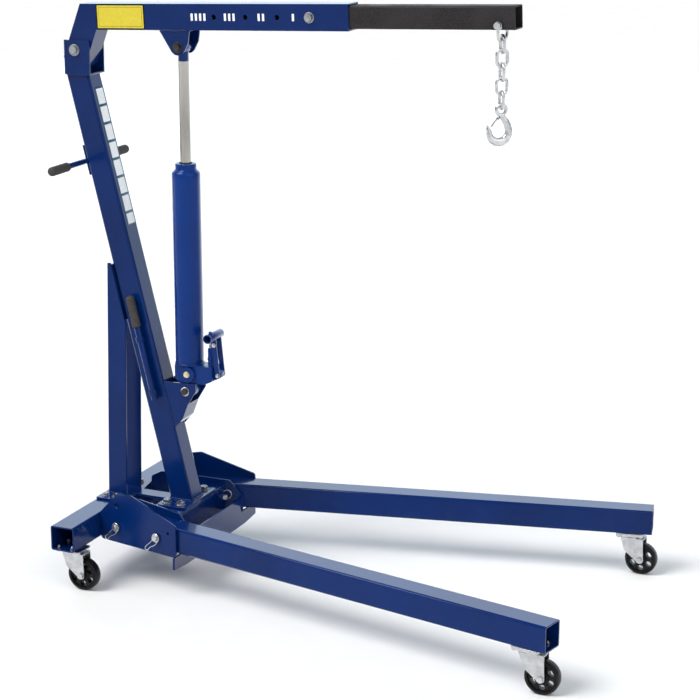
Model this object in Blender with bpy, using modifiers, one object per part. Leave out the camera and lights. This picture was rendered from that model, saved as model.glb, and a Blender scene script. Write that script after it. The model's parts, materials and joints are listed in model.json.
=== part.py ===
"""Foldable shop crane on casters: a leaning mast, a ram-lifted telescopic boom and two fold-up legs.

Metres, +Z up, +X towards the hook, +Y to the machine's left. Sizes along X are first counted from the
rear face of the rear cross tube; one empty then brings the middle of the machine to the origin.
"""

from math import cos, pi, radians, sin, tan

import bmesh
import bpy
from mathutils import Matrix, Vector

# ---------------------------------------------------------------- driving dimensions
GAP = 0.0003                      # between pieces that touch
SIDES = {"right": -1.0, "left": 1.0}

# rear cross tube and base
cross_depth = 0.072
cross_height = 0.070
cross_half_length = 0.332
cross_wall = 0.004
base_plate_thickness = 0.006
base_rear_half_width = 0.094
base_spine_half_width = 0.022
base_pan_behind_mast = 0.0172
base_pan_ahead_of_mast = 0.0108
foot_plate_drop = 0.041
foot_plate_half_width = 0.248

# legs
leg_width = 0.068
leg_height = 0.070
leg_above_cross = 0.006
leg_wall = 0.004
leg_splay = radians(12.16)
leg_pivot_x = 0.141
leg_pivot_y = 0.1595
leg_tail = 0.038
leg_reach = 1.357
lock_pin_ahead = 0.1432
leg_side_clearance = 0.003
bracket_thickness = 0.006
bracket_drop = 0.004
bracket_ahead_of_pivot = 0.1965
bracket_rise = 0.066

# casters
wheel_radius = 0.045
wheel_half_width = 0.014
wheel_hub_overhang = 0.0020
wheel_hub_radius = 0.0125
wheel_rim = 0.0095
wheel_hole_count = 6
wheel_hole_share = 0.37
wheel_hole_outset = 0.002
axle_radius = 0.005
caster_trail = 0.034
fork_clearance = 0.0018
fork_sheet = 0.0028
fork_crown_above_wheel = 0.0166
caster_race_radius = 0.028
caster_race_height = 0.0058
caster_plate_thickness = 0.003
caster_plate_length = 0.076
caster_plate_width = 0.064
rear_kingpin_x = 0.044
rear_kingpin_inset = 0.040
front_kingpin_inset = 0.061

# mast
mast_lean = radians(13.886)
mast_depth = 0.068
mast_width = 0.065
mast_wall = 0.004
mast_rear_at_foot = 0.2072
mast_top = 1.3717
mast_foot_thickness = 0.006
head_sheet = 0.005
head_side_clearance = 0.0025
head_ahead_of_mast = 0.0017
head_length = 0.0775
head_height = 0.093

# boom
boom_pitch = radians(2.263)
boom_pivot_ahead = 0.032
boom_pivot_above_mast = 0.0671
boom_height = 0.069
boom_width = 0.065
boom_wall = 0.003
boom_top_above_pivot = 0.12277
boom_rear = 0.02169
boom_front = 0.80609
neck_lean = radians(20.9)
neck_depth = 0.070
neck_below_pivot = 0.034
lock_hole_first = 0.42289
lock_hole_pitch = 0.0913
lock_hole_count = 4
lock_hole_radius = 0.0066

# extension
extension_side_clearance = 0.00075
extension_height_clearance = 0.00225
extension_wall = 0.0035
extension_inner_end = 0.64789
extension_outer_end = 1.24969
hang_bolt_from_end = 0.042
hang_bolt_above_bottom = 0.0115

# ram
ram_ahead_of_mast = 0.0624
ram_foot_z = 0.515
ram_top_below_boom = 0.0449
ram_body_radius = 0.039
ram_body_above_foot = 0.075
ram_body_length = 0.529
ram_collar_radius = 0.029
ram_collar_height = 0.028
ram_bore_above_foot = 0.125
rod_radius = 0.0145
rod_inside_body = 0.208
rod_below_eye = 0.0383
rod_clearance = 0.001
eye_radius = 0.018
eye_side_clearance = 0.005
lug_cheek = 0.006
pin_radius = 0.008
pin_clearance = 0.0006

# push bar and stored pump handle
push_bar_below_top = 0.2377
push_bar_radius = 0.008
push_half_length = 0.204
grip_length = 0.086
grip_radius = 0.0125
push_plate_thickness = 0.005
handle_radius = 0.009
handle_top = 0.775
handle_bottom = 0.486
handle_off_mast = 0.003

# rear braces
brace_width = 0.057
brace_thickness = 0.005
brace_bottom_x = 0.016
brace_top_depth = 0.0098
brace_top = 0.860
brace_off_mast = 0.006

# chain and hook
shackle_bar = 0.004
shackle_drop = 0.0380
shackle_side_clearance = 0.00125
shackle_bend = 0.0180
link_wire = 0.0042
link_half_length = 0.0254
link_half_width = 0.0180
link_count = 5
chain_turn = radians(40)
hook_eye_wire = 0.0048
hook_eye_bend = 0.0128
hook_bowl = 0.0260
hook_bowl_below_eye = 0.0550
hook_bowl_behind_eye = 0.0050
hook_bar = 0.0116
hook_flatness = 0.78

# derived
fork_crown_top = 2 * wheel_radius + fork_crown_above_wheel
caster_race_top = fork_crown_top + caster_race_height
wheel_hub_half_width = wheel_half_width + wheel_hub_overhang
wheel_web_radius = wheel_radius - wheel_rim
wheel_hole_radius = wheel_hole_share * (wheel_web_radius - wheel_hub_radius)
wheel_hole_circle = (wheel_web_radius + wheel_hub_radius) / 2 + wheel_hole_outset
fork_half_gap = wheel_hub_half_width + fork_clearance
cross_bottom = caster_race_top + caster_plate_thickness + 2 * GAP
cross_top = cross_bottom + cross_height
base_top = cross_top + GAP + base_plate_thickness
mast_bottom = base_top + GAP + mast_foot_thickness + GAP
leg_bottom = cross_bottom + leg_above_cross
leg_top = leg_bottom + leg_height
leg_mid = leg_bottom + leg_height / 2
bracket_bottom = cross_bottom - bracket_drop
bracket_front = leg_pivot_x + bracket_ahead_of_pivot
bracket_top = leg_top + bracket_rise
foot_plate_bottom = bracket_bottom - foot_plate_drop
plate_inner_offset = leg_width / 2 + leg_side_clearance
plate_outer_offset = plate_inner_offset + bracket_thickness
pivot_bore = pin_radius + pin_clearance
front_kingpin_x = leg_pivot_x + (leg_reach - front_kingpin_inset) * cos(leg_splay)
front_kingpin_y = leg_pivot_y + (leg_reach - front_kingpin_inset) * sin(leg_splay)
mast_slope = tan(mast_lean)
mast_run = mast_depth / cos(mast_lean)


def mast_rear(z):
    return mast_rear_at_foot - (z - mast_bottom) * mast_slope


def mast_front(z):
    return mast_rear(z) + mast_run


base_pan_rear = mast_rear_at_foot - base_pan_behind_mast
base_pan_front = mast_front(mast_bottom) + base_pan_ahead_of_mast
push_bar_z = mast_top - push_bar_below_top
brace_top_x = mast_rear(brace_top) - brace_top_depth
brace_inner_y = mast_width / 2 + brace_off_mast
head_rear = mast_rear(mast_top) + head_ahead_of_mast
head_front = head_rear + head_length
boom_pivot_x = head_rear + boom_pivot_ahead
boom_pivot_z = mast_top + boom_pivot_above_mast
boom_corner_x = boom_pivot_x + boom_rear * cos(boom_pitch) - boom_top_above_pivot * sin(boom_pitch)
boom_corner_z = boom_pivot_z + boom_rear * sin(boom_pitch) + boom_top_above_pivot * cos(boom_pitch)
neck_length = (
    (boom_corner_x - boom_pivot_x) * sin(neck_lean)
    + (boom_corner_z - boom_pivot_z) * cos(neck_lean)
    + neck_below_pivot
)
extension_height = boom_height - 2 * boom_wall - 2 * extension_height_clearance
extension_width = boom_width - 2 * boom_wall - 2 * extension_side_clearance
shackle_half_gap = extension_width / 2 + shackle_side_clearance
lug_half_gap = boom_width / 2 - lug_cheek
eye_half_width = lug_half_gap - eye_side_clearance
foot_half_gap = mast_width / 2 - lug_cheek
foot_eye_half_width = foot_half_gap - eye_side_clearance
ram_x = mast_front(ram_foot_z) + ram_ahead_of_mast
boom_under_ram = boom_corner_z + (ram_x - boom_corner_x) * tan(boom_pitch) - boom_height / cos(boom_pitch)
ram_top_z = boom_under_ram - ram_top_below_boom
ram_body_bottom = ram_foot_z + ram_body_above_foot
ram_body_top = ram_body_bottom + ram_body_length
ram_collar_top = ram_body_top + ram_collar_height
ram_bore_bottom = ram_foot_z + ram_bore_above_foot
rod_bottom = ram_body_top - rod_inside_body
rod_top = ram_top_z - rod_below_eye
rear_end_x = boom_corner_x - neck_length * sin(neck_lean)
front_end_x = front_kingpin_x + caster_trail + wheel_radius
middle_x = (front_end_x + rear_end_x) / 2


# ---------------------------------------------------------------- scene helpers
def clear_scene():
    for obj in list(bpy.data.objects):
        bpy.data.objects.remove(obj, do_unlink=True)


def new_collection(name):
    collection = bpy.data.collections.new(name)
    bpy.context.scene.collection.children.link(collection)
    return collection


def material(name, colour, roughness, metallic):
    made = bpy.data.materials.new(name)
    made.use_nodes = True
    shader = made.node_tree.nodes["Principled BSDF"]
    shader.inputs["Base Color"].default_value = (*colour, 1.0)
    shader.inputs["Roughness"].default_value = roughness
    shader.inputs["Metallic"].default_value = metallic
    return made


def empty(name, location, parent=None):
    made = bpy.data.objects.new(name, None)
    made.empty_display_size = 0.05
    parts.objects.link(made)
    made.parent = parent
    made.location = Vector(location) - (parent_place[parent] if parent else Vector())
    parent_place[made] = Vector(location)
    return made


def finish(name, mesh, paint, parent, smooth=False):
    """Turns a mesh in the machine's own frame into a named piece whose origin is its parent's place."""
    mesh.name = name
    mesh.transform(Matrix.Translation(-parent_place[parent]))
    mesh.materials.clear()
    mesh.materials.append(paint)
    if smooth:
        mesh.shade_smooth()
        mesh.set_sharp_from_angle(angle=radians(35))
    obj = bpy.data.objects.new(name, mesh)
    parts.objects.link(obj)
    obj.parent = parent
    return obj


# ---------------------------------------------------------------- outlines
def fillet(points, radius, steps=3):
    """Rounds each corner of an outline with an arc. A corner with too little room gets a smaller arc."""
    rounded = []
    for here, corner in enumerate(points):
        corner = Vector(corner)
        before = Vector(points[here - 1]) - corner
        after = Vector(points[(here + 1) % len(points)]) - corner
        turn = before.angle(after)
        reach = min(radius / tan(turn / 2), before.length * 0.45, after.length * 0.45)
        arc_radius = reach * tan(turn / 2)
        start = corner + before.normalized() * reach
        end = corner + after.normalized() * reach
        centre = corner + (before.normalized() + after.normalized()).normalized() * (
            arc_radius / sin(turn / 2)
        )
        first = start - centre
        sweep = first.angle_signed(end - centre)
        for step in range(steps + 1):
            angle = -sweep * step / steps
            rounded.append(centre + Matrix.Rotation(angle, 2) @ first)
    return rounded


def rectangle(x0, x1, y0, y1):
    return [(x0, y0), (x1, y0), (x1, y1), (x0, y1)]


def circle(x, y, radius, count=24):
    return [(x + radius * cos(2 * pi * k / count), y + radius * sin(2 * pi * k / count)) for k in range(count)]


# ---------------------------------------------------------------- solids
def sheet(outline, thickness, holes=()):
    """A flat outline in XY with holes, centred on z = 0: a filled 2D curve made into a welded mesh."""
    curve = bpy.data.curves.new("outline", "CURVE")
    curve.dimensions = "2D"
    curve.fill_mode = "BOTH"
    curve.extrude = thickness / 2
    for loop in (outline, *holes):
        spline = curve.splines.new("POLY")
        spline.points.add(len(loop) - 1)
        for point, place in zip(spline.points, loop):
            point.co = (place[0], place[1], 0.0, 1.0)
        spline.use_cyclic_u = True
    holder = bpy.data.objects.new("outline", curve)
    bpy.context.scene.collection.objects.link(holder)
    graph = bpy.context.evaluated_depsgraph_get()
    mesh = bpy.data.meshes.new_from_object(holder.evaluated_get(graph))
    bpy.data.objects.remove(holder)
    bpy.data.curves.remove(curve)
    return welded(mesh)


def welded(mesh):
    body = bmesh.new()
    body.from_mesh(mesh)
    bmesh.ops.remove_doubles(body, verts=body.verts, dist=0.00001)
    bmesh.ops.recalc_face_normals(body, faces=body.faces)
    body.to_mesh(mesh)
    body.free()
    return mesh


def upright(mesh, y):
    """Stands a sheet drawn in XY up into XZ, centred on y."""
    mesh.transform(Matrix.Translation((0, y, 0)) @ Matrix.Rotation(pi / 2, 4, "X"))
    return mesh


def side_plate(outline, thickness, y, holes=()):
    """A plate drawn in XZ and centred on y."""
    return upright(sheet(outline, thickness, holes), y)


def box(x0, x1, y0, y1, z0, z1):
    body = bmesh.new()
    bmesh.ops.create_cube(body, size=1.0)
    scale = Matrix.Diagonal((x1 - x0, y1 - y0, z1 - z0, 1.0))
    middle = Matrix.Translation(((x0 + x1) / 2, (y0 + y1) / 2, (z0 + z1) / 2))
    body.transform(middle @ scale)
    mesh = bpy.data.meshes.new("box")
    body.to_mesh(mesh)
    body.free()
    return mesh


def rod(start, end, radius, count=24, end_radius=None):
    """A cylinder or cone from start to end."""
    start, end = Vector(start), Vector(end)
    body = bmesh.new()
    bmesh.ops.create_cone(
        body,
        cap_ends=True,
        segments=count,
        radius1=radius,
        radius2=radius if end_radius is None else end_radius,
        depth=(end - start).length,
    )
    turn = Vector((0, 0, 1)).rotation_difference(end - start).to_matrix().to_4x4()
    body.transform(Matrix.Translation((start + end) / 2) @ turn)
    mesh = bpy.data.meshes.new("rod")
    body.to_mesh(mesh)
    body.free()
    return mesh


def across(x, z, y0, y1, radius, count=24):
    """A cylinder along Y."""
    return rod((x, y0, z), (x, y1, z), radius, count)


def turned(profile, steps=32):
    """A profile of (radius, height) pairs, top to bottom on its outer side, turned about Z."""
    mesh = bpy.data.meshes.new("profile")
    count = len(profile)
    loop = [(k, (k + 1) % count) for k in range(count)]
    edges = [(a, b) for a, b in loop if profile[a][0] > 0 or profile[b][0] > 0]
    mesh.from_pydata([(r, 0.0, z) for r, z in profile], edges, [])
    holder = bpy.data.objects.new("profile", mesh)
    bpy.context.scene.collection.objects.link(holder)
    screw = holder.modifiers.new("turn", "SCREW")
    screw.steps = screw.render_steps = steps
    screw.use_merge_vertices = True
    screw.merge_threshold = 0.00002
    graph = bpy.context.evaluated_depsgraph_get()
    made = bpy.data.meshes.new_from_object(holder.evaluated_get(graph))
    bpy.data.objects.remove(holder)
    bpy.data.meshes.remove(mesh)
    return welded(made)


def wire(points, radius, cyclic=False, widths=None):
    """A round bar along points, its ends closed. The widths scale the radius point by point."""
    curve = bpy.data.curves.new("wire", "CURVE")
    curve.dimensions = "3D"
    curve.bevel_depth = radius
    curve.bevel_resolution = 2
    curve.use_fill_caps = not cyclic
    spline = curve.splines.new("POLY")
    spline.points.add(len(points) - 1)
    for point, place, width in zip(spline.points, points, widths or [1.0] * len(points)):
        point.co = (*place, 1.0)
        point.radius = width
    spline.use_cyclic_u = cyclic
    holder = bpy.data.objects.new("wire", curve)
    bpy.context.scene.collection.objects.link(holder)
    graph = bpy.context.evaluated_depsgraph_get()
    mesh = bpy.data.meshes.new_from_object(holder.evaluated_get(graph))
    bpy.data.objects.remove(holder)
    bpy.data.curves.remove(curve)
    return welded(mesh)


def moved(mesh, matrix):
    mesh.transform(matrix)
    return mesh


def combine(mesh, others, operation):
    """Joins meshes to, or cuts them from, a mesh with exact Booleans."""
    target = bpy.data.objects.new("target", mesh)
    bpy.context.scene.collection.objects.link(target)
    tools = []
    for other in others:
        tool = bpy.data.objects.new("tool", other)
        cutters.objects.link(tool)
        tool.hide_render = True
        tool.display_type = "WIRE"
        modifier = target.modifiers.new("combine", "BOOLEAN")
        modifier.operation = operation
        modifier.solver = "EXACT"
        modifier.object = tool
        tools.append(tool)
    graph = bpy.context.evaluated_depsgraph_get()
    made = bpy.data.meshes.new_from_object(target.evaluated_get(graph))
    for obj in (target, *tools):
        bpy.data.objects.remove(obj)
    return made


def cut(mesh, *others):
    return combine(mesh, others, "DIFFERENCE")


def join(mesh, *others):
    return combine(mesh, others, "UNION")


def square_tube(width, height, wall, length, corner=0.006):
    """A hollow tube along +X from x = 0, width along Y and height along Z, centred on the axis."""
    outer = fillet(rectangle(-width / 2, width / 2, -height / 2, height / 2), corner)
    inner = fillet(
        rectangle(wall - width / 2, width / 2 - wall, wall - height / 2, height / 2 - wall),
        max(corner - wall, 0.001),
        steps=1,
    )
    mesh = sheet(outer, length, [inner])
    turn = Matrix(((0, 0, 1, length / 2), (1, 0, 0, 0), (0, 1, 0, 0), (0, 0, 0, 1)))
    return moved(mesh, turn)


def hex_bolt(x, z, y_from, y_to, radius, head_radius, head, count=16):
    """A bolt along Y: a hexagon head below y_from, a nut above y_to and a shank that runs into both."""
    return join(
        across(x, z, y_from - 0.001, y_to + 0.001, radius, count),
        across(x, z, y_from - head, y_from, head_radius, 6),
        across(x, z, y_to, y_to + head, head_radius, 6),
    )


# ---------------------------------------------------------------- frames of the splayed legs and the boom
def leg_frame(side):
    """Places leg coordinates: x along the leg from its pivot, y outwards, z up from the floor."""
    along = Vector((cos(leg_splay), side * sin(leg_splay), 0))
    outward = Vector((-sin(leg_splay), side * cos(leg_splay), 0))
    place = Vector((leg_pivot_x, side * leg_pivot_y, 0))
    return Matrix((
        (along.x, outward.x, 0, place.x),
        (along.y, outward.y, 0, place.y),
        (0, 0, 1, 0),
        (0, 0, 0, 1),
    ))


def in_leg_frame(mesh, side):
    mesh.transform(leg_frame(side))
    if side < 0:
        mesh.flip_normals()
    return mesh


def plate_station(x, offset):
    """How far along the leg a plate at this outward offset reaches the machine's x."""
    return (x - leg_pivot_x + offset * sin(leg_splay)) / cos(leg_splay)


def boom_frame():
    """Places boom coordinates: x along the boom from its pivot, z up from its top face."""
    turn = Matrix.Translation((boom_pivot_x, 0, boom_pivot_z)) @ Matrix.Rotation(-boom_pitch, 4, "Y")
    return turn @ Matrix.Translation((0, 0, boom_top_above_pivot))


def to_boom(x, z):
    place = boom_frame().inverted() @ Vector((x, 0, z))
    return place.x, place.z


# ---------------------------------------------------------------- base
def make_cross_tube():
    tube = square_tube(cross_depth, cross_height, cross_wall, 2 * cross_half_length)
    turn = Matrix.Rotation(pi / 2, 4, "Z")
    place = Matrix.Translation((cross_depth / 2, -cross_half_length, cross_bottom + cross_height / 2))
    finish("rear_cross_tube", moved(tube, place @ turn), blue, frame)


def bracket_outline(offset, shape):
    """Outline of a bracket plate in leg coordinates, from (machine x, z) pairs."""
    return fillet([(plate_station(x, offset), z) for x, z in shape], 0.010)


def make_brackets():
    weld_x = cross_depth + GAP
    outer_shape = [
        (weld_x, bracket_bottom),
        (weld_x, cross_top + 0.004),
        (leg_pivot_x - 0.0244, leg_top + 0.0434),
        (leg_pivot_x - 0.009, bracket_top - 0.007),
        (leg_pivot_x + 0.039, bracket_top),
        (bracket_front, leg_top + 0.0096),
        (bracket_front, bracket_bottom),
    ]
    inner_shape = [
        (weld_x, bracket_bottom),
        (weld_x, leg_top + 0.012),
        (leg_pivot_x - 0.041, leg_top + 0.027),
        (leg_pivot_x - 0.010, leg_top + 0.026),
        (leg_pivot_x + 0.159, leg_top + 0.013),
        (bracket_front, leg_mid + 0.004),
        (bracket_front, bracket_bottom),
    ]
    pivot_hole = circle(0, leg_mid, pivot_bore)
    lock_hole = circle(lock_pin_ahead, leg_mid, pivot_bore)
    storage_hole = circle(0, leg_mid + 0.062, pivot_bore, 16)
    small_hole = circle(lock_pin_ahead + 0.040, leg_mid + 0.020, 0.004, 12)
    for name, side in SIDES.items():
        middle = (plate_inner_offset + plate_outer_offset) / 2
        outline = bracket_outline(plate_outer_offset, outer_shape)
        holes = [pivot_hole, lock_hole, storage_hole, small_hole]
        plate = side_plate(outline, bracket_thickness, middle, holes)
        finish(f"bracket_outer_{name}", in_leg_frame(plate, side), blue, frame)
        outline = bracket_outline(-plate_inner_offset, inner_shape)
        plate = side_plate(outline, bracket_thickness, -middle, [pivot_hole, lock_hole])
        finish(f"bracket_inner_{name}", in_leg_frame(plate, side), blue, frame)


def inner_plate_y(x):
    """Y of the face of an inner bracket plate that looks at the machine's middle."""
    station = plate_station(x, -plate_outer_offset)
    return leg_pivot_y + station * sin(leg_splay) - plate_outer_offset * cos(leg_splay)


def make_base_plates():
    rear_half = inner_plate_y(base_pan_rear) - GAP
    front_half = inner_plate_y(base_pan_front) - GAP
    half = [
        (0.004, base_rear_half_width),
        (cross_depth + 0.008, base_rear_half_width),
        (cross_depth + 0.020, base_spine_half_width),
        (base_pan_rear, base_spine_half_width),
        (base_pan_rear, rear_half),
        (base_pan_front, front_half),
    ]
    outline = half + [(x, -y) for x, y in reversed(half)]
    plate = sheet(outline, base_plate_thickness)
    height = cross_top + GAP + base_plate_thickness / 2
    finish("base_plate", moved(plate, Matrix.Translation((0, 0, height))), blue, frame)

    lip_front = base_pan_front
    lip_half = inner_plate_y(base_pan_front - base_plate_thickness) - GAP
    lip = box(lip_front - base_plate_thickness, lip_front, -lip_half, lip_half, bracket_bottom, cross_top)
    finish("base_front_lip", lip, blue, frame)

    foot_x = bracket_front - 0.009
    middle_half = inner_plate_y(foot_x) - GAP
    half = [
        (0.0, foot_plate_bottom),
        (foot_plate_half_width - 0.068, foot_plate_bottom),
        (foot_plate_half_width, foot_plate_bottom + 0.007),
        (foot_plate_half_width, bracket_bottom - GAP),
        (middle_half, bracket_bottom - GAP),
        (middle_half, leg_mid - 0.002),
    ]
    outline = half[1:] + [(-y, z) for y, z in reversed(half[1:])]
    foot = sheet(outline, base_plate_thickness)
    turn = Matrix(((0, 0, 1, foot_x + base_plate_thickness / 2), (1, 0, 0, 0), (0, 1, 0, 0), (0, 0, 0, 1)))
    finish("foot_plate", moved(foot, turn), blue, frame)


def make_leg_pins():
    reach = plate_outer_offset + 0.003
    lock_inner = plate_inner_offset + 0.0005
    for name, side in SIDES.items():
        pivot = join(
            across(0, leg_mid, -reach - 0.006, reach, pin_radius),
            across(0, leg_mid, reach - 0.003 + GAP, reach + 0.005, 0.0125),
        )
        finish(f"leg_pivot_pin_{name}", in_leg_frame(pivot, side), zinc, frame, smooth=True)
        lock = join(
            across(lock_pin_ahead, leg_mid, lock_inner, reach, pin_radius),
            across(lock_pin_ahead, leg_mid, reach - 0.003 + GAP, reach + 0.005, 0.0125),
        )
        finish(f"leg_lock_pin_{name}", in_leg_frame(lock, side), zinc, frame, smooth=True)


# ---------------------------------------------------------------- legs
def make_legs():
    for name, side in SIDES.items():
        joint = empty(f"leg_fold_{name}", (leg_pivot_x, side * leg_pivot_y, leg_mid), frame)
        tube = square_tube(leg_width, leg_height, leg_wall, leg_tail + leg_reach)
        tube = moved(tube, Matrix.Translation((-leg_tail, 0, leg_mid)))
        tube = cut(
            tube,
            across(0, leg_mid, -leg_width, leg_width, pivot_bore),
            across(lock_pin_ahead, leg_mid, -leg_width, leg_width, pivot_bore),
        )
        finish(f"leg_{name}", in_leg_frame(tube, side), blue, joint)
        x, y = front_kingpin_x, side * front_kingpin_y
        make_caster_plate(f"caster_plate_front_{name}", x, y, leg_bottom - GAP, joint, side * leg_splay)
        make_caster(f"front_{name}", x, y, joint)


# ---------------------------------------------------------------- casters
def make_caster_plate(name, x, y, top, parent, turn=0.0):
    bottom = caster_race_top + GAP
    half_x, half_y = caster_plate_length / 2, caster_plate_width / 2
    outline = fillet(rectangle(-half_x, half_x, -half_y, half_y), 0.006)
    plate = sheet(outline, top - bottom)
    place = Matrix.Translation((x, y, (top + bottom) / 2)) @ Matrix.Rotation(turn, 4, "Z")
    finish(name, moved(plate, place), zinc, parent)


def fork_mesh():
    """Swivel race, crown, two trailing cheeks and the axle with its nuts, about the kingpin."""
    cheek = [(-0.022, fork_crown_top - 0.0006), (caster_trail + 0.008, fork_crown_top - 0.0006)]
    low = -pi * 0.04
    for step in range(7):
        angle = low - (pi * 0.80) * step / 6
        cheek.append((caster_trail + 0.0105 * cos(angle), wheel_radius + 0.0105 * sin(angle)))
    cheek.append((-0.010, wheel_radius + 0.023))
    crown_half = fork_half_gap + fork_sheet
    crown = fillet(rectangle(-0.025, caster_trail + 0.010, -crown_half, crown_half), 0.008)
    crown = moved(sheet(crown, 0.003), Matrix.Translation((0, 0, fork_crown_top - 0.0015)))
    cheek_y = fork_half_gap + fork_sheet / 2
    return join(
        crown,
        side_plate(cheek, fork_sheet, cheek_y),
        side_plate(cheek, fork_sheet, -cheek_y),
        rod((0, 0, fork_crown_top - 0.001), (0, 0, caster_race_top), caster_race_radius),
        across(caster_trail, wheel_radius, -crown_half - 0.001, crown_half + 0.001, axle_radius, 16),
        across(caster_trail, wheel_radius, crown_half - 0.0004, crown_half + 0.006, 0.0085, 6),
        across(caster_trail, wheel_radius, -crown_half - 0.006, -crown_half + 0.0004, 0.0085, 6),
    )


def wheel_mesh():
    """A moulded wheel about Y with a crowned tread, a dished web with round windows and a long hub."""
    tread, hub = wheel_half_width, wheel_hub_half_width
    half = [
        (axle_radius + 0.0005, hub),
        (wheel_hub_radius - 0.001, hub),
        (wheel_hub_radius, 0.0090),
        (wheel_web_radius, 0.0090),
        (wheel_radius - 0.0080, tread - 0.0008),
        (wheel_radius - 0.0065, tread),
        (wheel_radius - 0.0015, tread - 0.0015),
        (wheel_radius, tread - 0.0060),
    ]
    profile = half + [(r, -z) for r, z in reversed(half)]
    wheel = turned(profile)
    windows = []
    for k in range(wheel_hole_count):
        angle = 2 * pi * (k + 0.5) / wheel_hole_count
        x, y = wheel_hole_circle * cos(angle), wheel_hole_circle * sin(angle)
        windows.append(rod((x, y, -0.02), (x, y, 0.02), wheel_hole_radius, 16))
    return moved(cut(wheel, *windows), Matrix.Rotation(pi / 2, 4, "X"))


def make_caster(name, x, y, parent):
    swivel = empty(f"caster_swivel_{name}", (x, y, caster_race_top), parent)
    fork = moved(fork_mesh(), Matrix.Translation((x, y, 0)))
    finish(f"caster_fork_{name}", fork, zinc, swivel, smooth=True)
    axle = empty(f"wheel_axle_{name}", (x + caster_trail, y, wheel_radius), swivel)
    wheel = moved(wheel_mesh(), Matrix.Translation((x + caster_trail, y, wheel_radius)))
    finish(f"wheel_{name}", wheel, black, axle, smooth=True)


def make_rear_casters():
    for name, side in SIDES.items():
        y = side * (cross_half_length - rear_kingpin_inset)
        make_caster_plate(f"caster_plate_rear_{name}", rear_kingpin_x, y, cross_bottom - GAP, frame)
        make_caster(f"rear_{name}", rear_kingpin_x, y, frame)


# ---------------------------------------------------------------- mast
def leaning(mesh, z_zero):
    """Shears a mesh so that its vertical lines lean back with the mast, fixed at z_zero."""
    shear = Matrix.Identity(4)
    shear[0][2] = -mast_slope
    shear[0][3] = mast_slope * z_zero
    return moved(mesh, shear)


def make_mast():
    wall_x = mast_wall / cos(mast_lean)
    outer = fillet(rectangle(0, mast_run, -mast_width / 2, mast_width / 2), 0.006)
    inner = fillet(
        rectangle(wall_x, mast_run - wall_x, mast_wall - mast_width / 2, mast_width / 2 - mast_wall),
        0.002,
        steps=1,
    )
    height = mast_top - mast_bottom
    tube = sheet(outer, height, [inner])
    tube = moved(tube, Matrix.Translation((mast_rear_at_foot, 0, mast_bottom + height / 2)))
    finish("mast", leaning(tube, mast_bottom), blue, frame)

    outline = fillet(rectangle(mast_rear(mast_bottom) - 0.010, base_pan_front, -0.095, 0.095), 0.012)
    flange_middle = mast_bottom - GAP - mast_foot_thickness / 2
    flange = moved(sheet(outline, mast_foot_thickness), Matrix.Translation((0, 0, flange_middle)))
    finish("mast_foot", flange, blue, frame)

    inner = boom_width / 2 + head_side_clearance
    outer = inner + head_sheet
    bottom = mast_top + GAP
    top = bottom + head_height
    channel = [(-outer, bottom), (outer, bottom), (outer, top), (inner, top)]
    channel += [(inner, bottom + head_sheet), (-inner, bottom + head_sheet), (-inner, top), (-outer, top)]
    head = sheet(channel, head_front - head_rear)
    turn = Matrix(((0, 0, 1, (head_front + head_rear) / 2), (1, 0, 0, 0), (0, 1, 0, 0), (0, 0, 0, 1)))
    head = cut(moved(head, turn), across(boom_pivot_x, boom_pivot_z, -0.08, 0.08, pivot_bore))
    finish("mast_head", head, blue, frame)
    bolt = hex_bolt(boom_pivot_x, boom_pivot_z, -outer - GAP, outer + GAP, pin_radius, 0.0150, 0.009)
    finish("boom_pivot_bolt", bolt, zinc, frame)


def from_ram_foot(points):
    """Places (x, z) pairs counted from the ram's foot pin."""
    return [(ram_x + x, ram_foot_z + z) for x, z in points]


def make_ram_lug():
    """Two cheeks and a floor: one block that hugs the mast, slotted for the foot of the ram."""
    top, low = ram_foot_z + 0.021, ram_foot_z - 0.110
    nose = from_ram_foot([(0.0320, 0.0246), (0.0320, 0.0031), (0.0073, -0.0377), (-0.0094, -0.0805)])
    shape = [(mast_front(top) + GAP, top), *nose, (mast_front(low) + GAP, low)]
    floor = [(0.0025, -0.0350), (-0.0145, -0.0780), (-0.0375, -0.1360)]
    slot = from_ram_foot([(-0.16, 0.105), (0.08, 0.105), (0.08, -0.035), *floor, (-0.16, -0.136)])
    lug = cut(
        side_plate(shape, mast_width, 0),
        side_plate(slot, 2 * foot_half_gap, 0),
        across(ram_x, ram_foot_z, -0.06, 0.06, pivot_bore),
    )
    finish("ram_lug", lug, blue, frame)
    outer = mast_width / 2
    pin = join(
        across(ram_x, ram_foot_z, -outer - 0.002, outer + 0.008, pin_radius),
        across(ram_x, ram_foot_z, -outer - 0.009, -outer - GAP, 0.0130),
    )
    finish("ram_foot_pin", pin, zinc, frame, smooth=True)


def make_braces():
    bottom = base_top + GAP
    lean = (brace_top_x - brace_bottom_x) / (brace_top - bottom)
    front_bottom = brace_bottom_x + brace_width
    run = mast_rear_at_foot + mast_bottom * mast_slope - GAP - front_bottom + lean * bottom
    meet = run / (lean + mast_slope)
    outline = [
        (brace_bottom_x, bottom),
        (front_bottom, bottom),
        (front_bottom + lean * (meet - bottom), meet),
        (mast_rear(brace_top) - GAP, brace_top),
        (brace_top_x, brace_top),
    ]
    for name, side in SIDES.items():
        plate = side_plate(outline, brace_thickness, side * (brace_inner_y + brace_thickness / 2))
        finish(f"rear_brace_{name}", plate, blue, frame)
    low, high = meet + 0.015, brace_top - 0.005
    half = brace_inner_y - GAP
    saddle = box(mast_rear_at_foot - 0.0055, mast_rear_at_foot - GAP, -half, half, low, high)
    finish("brace_saddle", leaning(saddle, mast_bottom), blue, frame)


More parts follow.
